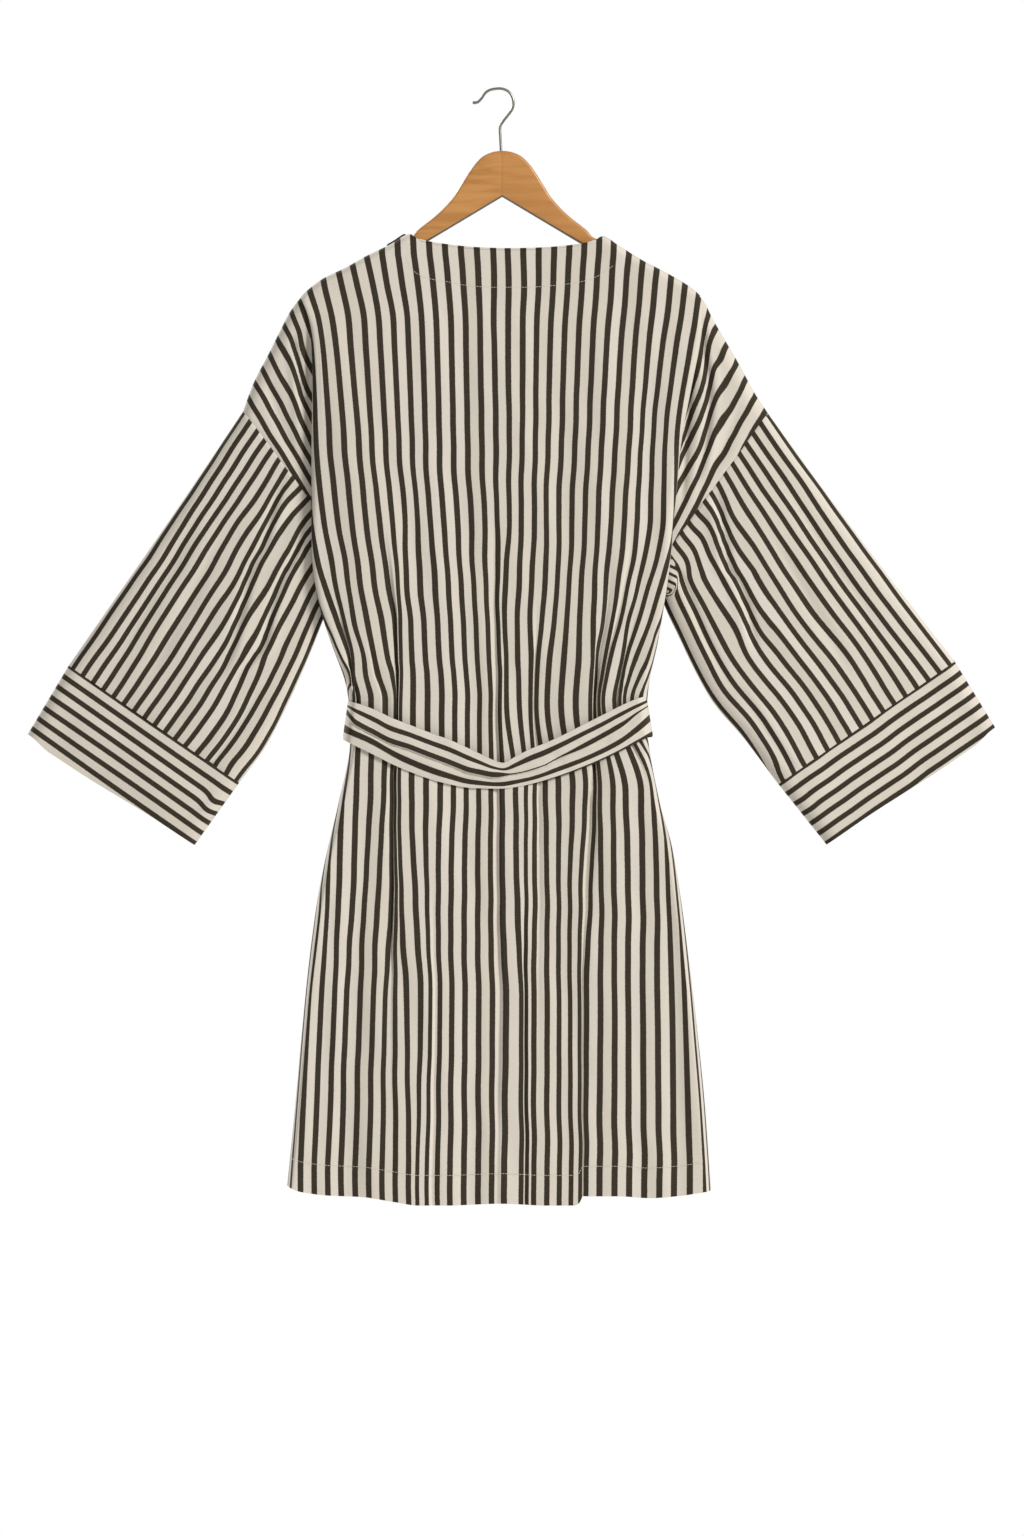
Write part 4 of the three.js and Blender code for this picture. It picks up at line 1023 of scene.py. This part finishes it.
def knotPart(rows=72, columns=96):
    # the wound strip of the knot: a soft pillow with its turns lying over each other
    up = np.linspace(0.02, math.pi - 0.02, rows)[:, None]
    turn = np.linspace(0, 2 * math.pi, columns, endpoint=False)[None, :]
    x, y, z = np.sin(up) * np.cos(turn), np.sin(up) * np.sin(turn), np.cos(up) + 0 * turn
    square = np.maximum(np.abs(x), np.abs(z)) ** 0.35 + 0 * x
    slant = x * 0.55 + z
    turns = 0.07 * np.sin(slant * 7.5) + 0.05 * np.sin(slant * 13 + 1)
    size = (0.9 + 0.1 * square) * (0.93 + turns * (np.abs(y) > 0.15))
    middle = [knotSizes[name] for name in ("x", "y", "z")]
    half = [knotSizes[name] for name in ("wide", "deep", "high")]
    grid = middle + np.stack([x, y, z], -1) * half * size[..., None]
    uv = np.stack([slant * knotSizes["high"] / 13, x * 20], -1)
    poles, poleUv = [np.array([rings[0].mean(0), rings[-1].mean(0)]) for rings in (grid, uv)]
    return cappedRings(grid, poles, uv, poleUv)


knotPiece = meshPiece("belt_knot_wound", [knotPart()], striped, sharp=180)

tailSizes = {
    "left": table("z x out", [[-733.2, -9, 32], [-770, -15, 31], [-850, -22, 34], [-960, -28, 36.5],
                              [-1096, -34, 38]]),
    "right": table("z x out", [[-733.2, 13, 32], [-775, 20, 31], [-860, 27, 34.5], [-980, 32, 37],
                               [-1128, 36, 39]]),
}
tailWidth = 38


def tailGrid(rows, seed):
    curves = curvesOf(rows, "z")
    down = np.linspace(0, 1, 90)[:, None] + np.zeros((1, 26))
    share = np.linspace(-0.5, 0.5, 26)[None, :] + 0 * down
    z = blend(rows["z"][0], rows["z"][-1], down)
    wide = tailWidth * blend(0.5, 1, smooth(down, 0, 0.25))
    x = curves["x"](z) + share * wide + 0.8 * wander(z, 0 * z, seed, 160)
    gather = (1 - smooth(down, 0, 0.3)) * 1.6 * np.sin(share * 16)
    y = curves["out"](z) + 2 * (0.25 - share ** 2) + gather + 0.5 * wander(x, z, seed + 1, 60)
    z = z + np.where(down > 0.97, 8 * share * (down - 0.97) / 0.03, 0)
    return np.stack([x, y, z], -1), np.stack([share * 3.1 + 0.05, -z], -1)


tails = {}
for side, rows in tailSizes.items():
    made = tailGrid(rows, 81 if side == "left" else 91)
    tails[side] = meshPiece(f"belt_end_{side}", [wallPart(*made, 1, wall=beltSizes["wall"])], striped)
print("belt made")


# Stitches.
stitchSizes = {"spacing": 3.1, "length": 2.1, "thread": 0.24, "lift": 0.06, "hem": 33, "edge": 22, "turn": 9}


def stitchTree(material):
    tree = bpy.data.node_groups.new("stitchRun", "GeometryNodeTree")
    tree.interface.new_socket("Geometry", in_out="OUTPUT", socket_type="NodeSocketGeometry")
    tree.interface.new_socket("Geometry", in_out="INPUT", socket_type="NodeSocketGeometry")
    for name in ("Spacing", "Length", "Thread"):
        tree.interface.new_socket(name, in_out="INPUT", socket_type="NodeSocketFloat")
    source = tree.nodes.new("NodeGroupInput")
    run, spacing, length, thread = [Wire(tree, source.outputs[k]) for k in range(4)]
    spots = tree.nodes.new("GeometryNodeCurveToPoints")
    spots.mode = "LENGTH"
    tree.links.new(run.socket, spots.inputs["Curve"])
    tree.links.new(spacing.socket, spots.inputs["Length"])
    stitch = addNode(tree, "GeometryNodeMeshCylinder", {"fill_type": "TRIANGLE_FAN"}, 0,
                     Vertices=6, Radius=thread, Depth=length)
    turn = addNode(tree, "FunctionNodeAlignRotationToVector", {"axis": "Z"}, 0,
                   Vector=Wire(tree, spots.outputs["Tangent"]))
    placed = addNode(tree, "GeometryNodeInstanceOnPoints", Points=Wire(tree, spots.outputs["Points"]),
                     Instance=stitch, Rotation=turn)
    real = addNode(tree, "GeometryNodeRealizeInstances", Geometry=placed)
    done = addNode(tree, "GeometryNodeSetMaterial", Geometry=real, Material=material)
    sink = tree.nodes.new("NodeGroupOutput")
    tree.links.new(done.socket, sink.inputs[0])
    return tree


threadMaterial, threadTree, threadShader = newMaterial("sewingThread")
threadPlace = addNode(threadTree, "ShaderNodeTexCoord", output=3)
threadTwist = addNode(threadTree, "ShaderNodeTexNoise", Vector=threadPlace, Scale=2500, Detail=1)
threadColour = colourMix(threadTree, threadTwist, (0.70, 0.65, 0.56, 1), (0.52, 0.47, 0.39, 1))
setInputs(threadTree, threadShader, Base_Color=threadColour, Roughness=0.8)
stitching = stitchTree(threadMaterial)


def onCloth(grid, points):
    # the nearest place on a piece's outer side to each x and z, lifted off it a little
    flat = grid.reshape(-1, 3)
    tree = KDTree(len(flat))
    for k, (x, _, z) in enumerate(flat):
        tree.insert((x, 0, z), k)
    tree.balance()
    found = []
    for x, z in points:
        near = tree.find_n((x, 0, z), 4)
        sign = -1 if flat[near[0][1]][1] < 0 else 1
        depth = max(abs(flat[spot[1]][1]) for spot in near)
        found.append((x, sign * (depth + stitchSizes["lift"]), z))
    return found


def stitchRun(name, lines):
    curve = bpy.data.curves.new(name, "CURVE")
    curve.dimensions = "3D"
    for line in lines:
        spline = curve.splines.new("POLY")
        spline.points.add(len(line) - 1)
        for point, (x, y, z) in zip(spline.points, line):
            point.co = ((x + hookOffset) * toMetres, y * toMetres, z * toMetres, 1)
    source = addObject(name + "_line", curve)
    modifier = source.modifiers.new("stitches", "NODES")
    modifier.node_group = stitching
    for socket in stitching.interface.items_tree:
        if socket.in_out == "INPUT" and socket.name != "Geometry":
            modifier[socket.identifier] = stitchSizes[socket.name.lower()] * toMetres
    source.update_tag()
    evaluated = source.evaluated_get(bpy.context.evaluated_depsgraph_get())
    mesh = bpy.data.meshes.new_from_object(evaluated)
    mesh.name = name
    bpy.data.objects.remove(source)
    return addObject(name, mesh)


facingLine = route([[-104, -185], [-96, -200], [-77, -208.7], [-56, -212.3], [-44, -215], [-8, -217.8],
                    [25, -217.8], [57, -216], [73, -214.2], [93, -210.5], [108, -204.6], [122, -195]])


def steps(path, count=160):
    return [tuple(point) for point in path(np.linspace(0, 1, count))]


def hemRun(grid):
    skip = stitchSizes["turn"]
    bottom = grid[-1, skip:-skip][:, [0, 2]]
    return [(x, z + stitchSizes["hem"]) for x, z in bottom[::3]]


backStitches = stitchRun("back_stitches", [onCloth(backGrid, steps(pathOf(facingLine))),
                                           onCloth(backGrid, hemRun(backGrid))])
edgeLevels = np.linspace(-185, -1195, 220)
leftStitches = stitchRun("front_left_stitches", [
    onCloth(frontLeftGrid, [(float(edgeAt(z)) - stitchSizes["edge"], z) for z in edgeLevels]),
    onCloth(frontLeftGrid, hemRun(frontLeftGrid)),
])
rightStitches = stitchRun("front_right_stitches", [
    onCloth(frontRightGrid, [(float(farEdge(z)) + stitchSizes["edge"], z) for z in edgeLevels]),
    onCloth(frontRightGrid, hemRun(frontRightGrid)),
])
print("stitches made")


# The hanger.
woodSizes = {"depth": 12, "middle": 1.3, "bevel": 3, "notch": -117.5}
woodHalf = route([
    [0, -67], [10.5, -68.5], [21.5, -73.5], [30.5, -82.5], [38, -93], [46, -106], [54, -118.5], [64, -130],
    [75, -140.3], [87, -149.6], [94, -155.5], [99, -161.6], [107, -165.6], [124, -174.6], [153, -190.8],
    [173, -201.5], [190, -211.5], [196, -216.5],
])
woodUnder = route([[197, -222], [192, -227], [180, -224], [128, -195.5], [87, -169.5]])
wireRoute = route([
    [0, -84], [0, -68], [-0.6, -54], [-1, -41], [1.6, -35.5], [7, -28.5], [12, -21.5], [13.8, -14.5],
    [12.4, -7.5], [8.5, -2], [2.5, 1], [-4, 1.5], [-12, 0], [-17.5, -3.6], [-22, -9.8], [-26, -13.6],
    [-31.5, -14],
])
wireSizes = {"radius": 1.5, "sides": 20, "steps": 260, "tip": 4.5}


def splinePoints(rows, count):  # an even, rounded line through a table's points
    points = np.stack([rows["x"], rows["z"]], 1)
    padded = np.concatenate([2 * points[:1] - points[1:2], points, 2 * points[-1:] - points[-2:-1]])
    line = []
    for k in range(len(points) - 1):
        a, b, c, d = padded[k:k + 4]
        for t in np.linspace(0, 1, 24, endpoint=False):
            line.append(0.5 * (2 * b + (c - a) * t + (2 * a - 5 * b + 4 * c - d) * t ** 2
                               + (3 * b - a - 3 * c + d) * t ** 3))
    line = np.array(line + [points[-1]])
    run = lengths(line)
    even = np.linspace(0, run[-1], count)
    return np.stack([np.interp(even, run, line[:, k]) for k in (0, 1)], 1)


def outwards(mesh):  # turn every face of a closed mesh to point out
    work = bmesh.new()
    work.from_mesh(mesh)
    bmesh.ops.remove_doubles(work, verts=work.verts, dist=1e-7)
    bmesh.ops.triangulate(work, faces=[face for face in work.faces if len(face.verts) > 4])
    bmesh.ops.recalc_face_normals(work, faces=work.faces)
    work.to_mesh(mesh)
    work.free()
    mesh.polygons.foreach_set("use_smooth", [True] * len(mesh.polygons))
    mesh.set_sharp_from_angle(angle=math.radians(40))


def ringPiece(name, rings, material):  # a solid of rings with a flat face at each end
    number = ringNumbers(*rings.shape[:2])
    quads = np.stack([number[:-1, :-1], number[:-1, 1:], number[1:, 1:], number[1:, :-1]], -1)
    faces = quads.reshape(-1, 4).tolist() + [number[0, :-1][::-1].tolist(), number[-1, :-1].tolist()]
    mesh = bpy.data.meshes.new(name)
    mesh.from_pydata(((rings.reshape(-1, 3) + [hookOffset, 0, 0]) * toMetres).tolist(), [], faces)
    mesh.validate()
    outwards(mesh)
    mesh.materials.append(material)
    return addObject(name, mesh)


def woodRings():
    right = np.concatenate([splinePoints(woodHalf, 90), splinePoints(woodUnder, 40)])
    left = right[::-1] * [-1, 1]
    outline = np.concatenate([right, [[0, woodSizes["notch"]]], left[:-1]])
    along = np.roll(outline, -1, 0) - np.roll(outline, 1, 0)
    inward = unit(np.stack([along[:, 1], -along[:, 0]], 1))
    half, bevel = woodSizes["depth"] / 2, woodSizes["bevel"]
    angles = np.linspace(0, math.pi / 2, 7)
    profile = [(bevel * (1 - math.sin(a)), half - bevel * (1 - math.cos(a))) for a in angles]
    profile += [(inset, -depth) for inset, depth in profile[::-1]]
    rings = []
    for inset, depth in profile:
        flat = outline + inward * inset
        rings.append(np.stack([flat[:, 0] + woodSizes["middle"], 0 * flat[:, 0] - depth, flat[:, 1]], 1))
    return np.array(rings)


def wireRings():
    line = splinePoints(wireRoute, wireSizes["steps"])
    along = unit(np.gradient(line, axis=0))
    run = lengths(line)
    left = run[-1] - run
    flat = 1 - smooth(left, 0, wireSizes["tip"] * 1.6)
    wide = wireSizes["radius"] * (1 + 0.18 * flat)
    thin = wireSizes["radius"] * (1 - 0.35 * flat)
    close = np.sqrt(np.clip(1 - (1 - np.clip(left / 1.6, 0, 1)) ** 2, 0, 1))
    angle = np.linspace(0, 2 * math.pi, wireSizes["sides"], endpoint=False)
    out = (wide * close)[:, None] * np.cos(angle)
    x, z = line[:, :1] + along[:, 1:] * out, line[:, 1:] - along[:, :1] * out
    return np.stack([x, (thin * close)[:, None] * np.sin(angle), z], -1)


woodPiece = ringPiece("hanger_wood_finished", woodRings(), woodFinish)
hookPiece = ringPiece("hanger_hook_finished", wireRings(), steelFinish)
print("hanger made")


# Each piece is parented to the root body, and the parts of the model that it replaces are hidden.
def dress(piece, slot, *nodes):
    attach(piece, "root")
    if nodes:
        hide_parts(*nodes)


dress(backPiece, "striped_cotton", "back")
dress(frontLeftPiece, "striped_cotton", "front_left")
dress(frontRightPiece, "striped_cotton", "front_right")
for (part, side), piece in limbs.items():
    dress(piece, "striped_cotton", f"{part}_{side}")
dress(beltPiece, "striped_cotton", "belt_band")
dress(knotPiece, "striped_cotton", "belt_knot")
for side, piece in tails.items():
    dress(piece, "striped_cotton", f"belt_tail_{side}")
for piece in (backStitches, leftStitches, rightStitches):
    dress(piece, "striped_cotton")
dress(woodPiece, "lacquered_wood", "hanger_wood")
dress(hookPiece, "hook_steel", "hanger_hook")


# Camera, lights and floor.
studio = {
    "distance": 7.0, "centre": (0.0161, -0.7458), "seen": 1.6896, "film": 36, "floor": -2.1,
    "floorHalf": 2.6, "aim": (0.016, 0, -0.7), "lampSize": 2.6,
    "lampColour": (1.0, 0.985, 0.96), "fill": 0.42,
    "lamps": {"keyLight": ((5.6, -4.8, 3.1), 690), "frontLight": ((-5.6, 4.8, 3.1), 600)},
}
camera = addObject("camera", bpy.data.cameras.new("camera"))
camera.data.sensor_width = studio["film"]
camera.data.lens = studio["film"] * studio["distance"] / studio["seen"]
camera.location = (studio["centre"][0], -studio["distance"], studio["centre"][1])
camera.rotation_euler = (math.pi / 2, 0, 0)
bpy.context.scene.camera = camera
bpy.context.scene.view_settings.view_transform = "Standard"

for name, (place, power) in studio["lamps"].items():
    data = bpy.data.lights.new(name, "AREA")
    data.shape, data.size, data.energy, data.color = "DISK", studio["lampSize"], power, studio["lampColour"]
    light = addObject(name, data)
    light.location = place
    light.rotation_euler = (Vector(studio["aim"]) - Vector(place)).to_track_quat("-Z", "Y").to_euler()
    light.visible_camera = False

world = bpy.data.worlds.new("studio")
world.use_nodes = True
sky = world.node_tree
sky.nodes.clear()
seen = addNode(sky, "ShaderNodeLightPath")
white = addNode(sky, "ShaderNodeBackground", Color=(1, 1, 1, 1), Strength=1.0)
fill = addNode(sky, "ShaderNodeBackground", Color=(1, 0.995, 0.985, 1), Strength=studio["fill"])
both = addNode(sky, "ShaderNodeMixShader", ordered=(seen, fill, white))
sky.links.new(both.socket, sky.nodes.new("ShaderNodeOutputWorld").inputs[0])
bpy.context.scene.world = world

floorMesh = bpy.data.meshes.new("floor")
reach, level = studio["floorHalf"], studio["floor"]
floorMesh.from_pydata([(-reach, -reach, level), (reach, -reach, level), (reach, reach, level),
                       (-reach, reach, level)], [], [(0, 1, 2, 3)])
floorMaterial, floorTree, floorShader = newMaterial("paleFloor")
setInputs(floorTree, floorShader, Base_Color=(0.86, 0.86, 0.85, 1), Roughness=0.9)
floorMesh.materials.append(floorMaterial)
floor = addObject("floor", floorMesh)
print("studio made")
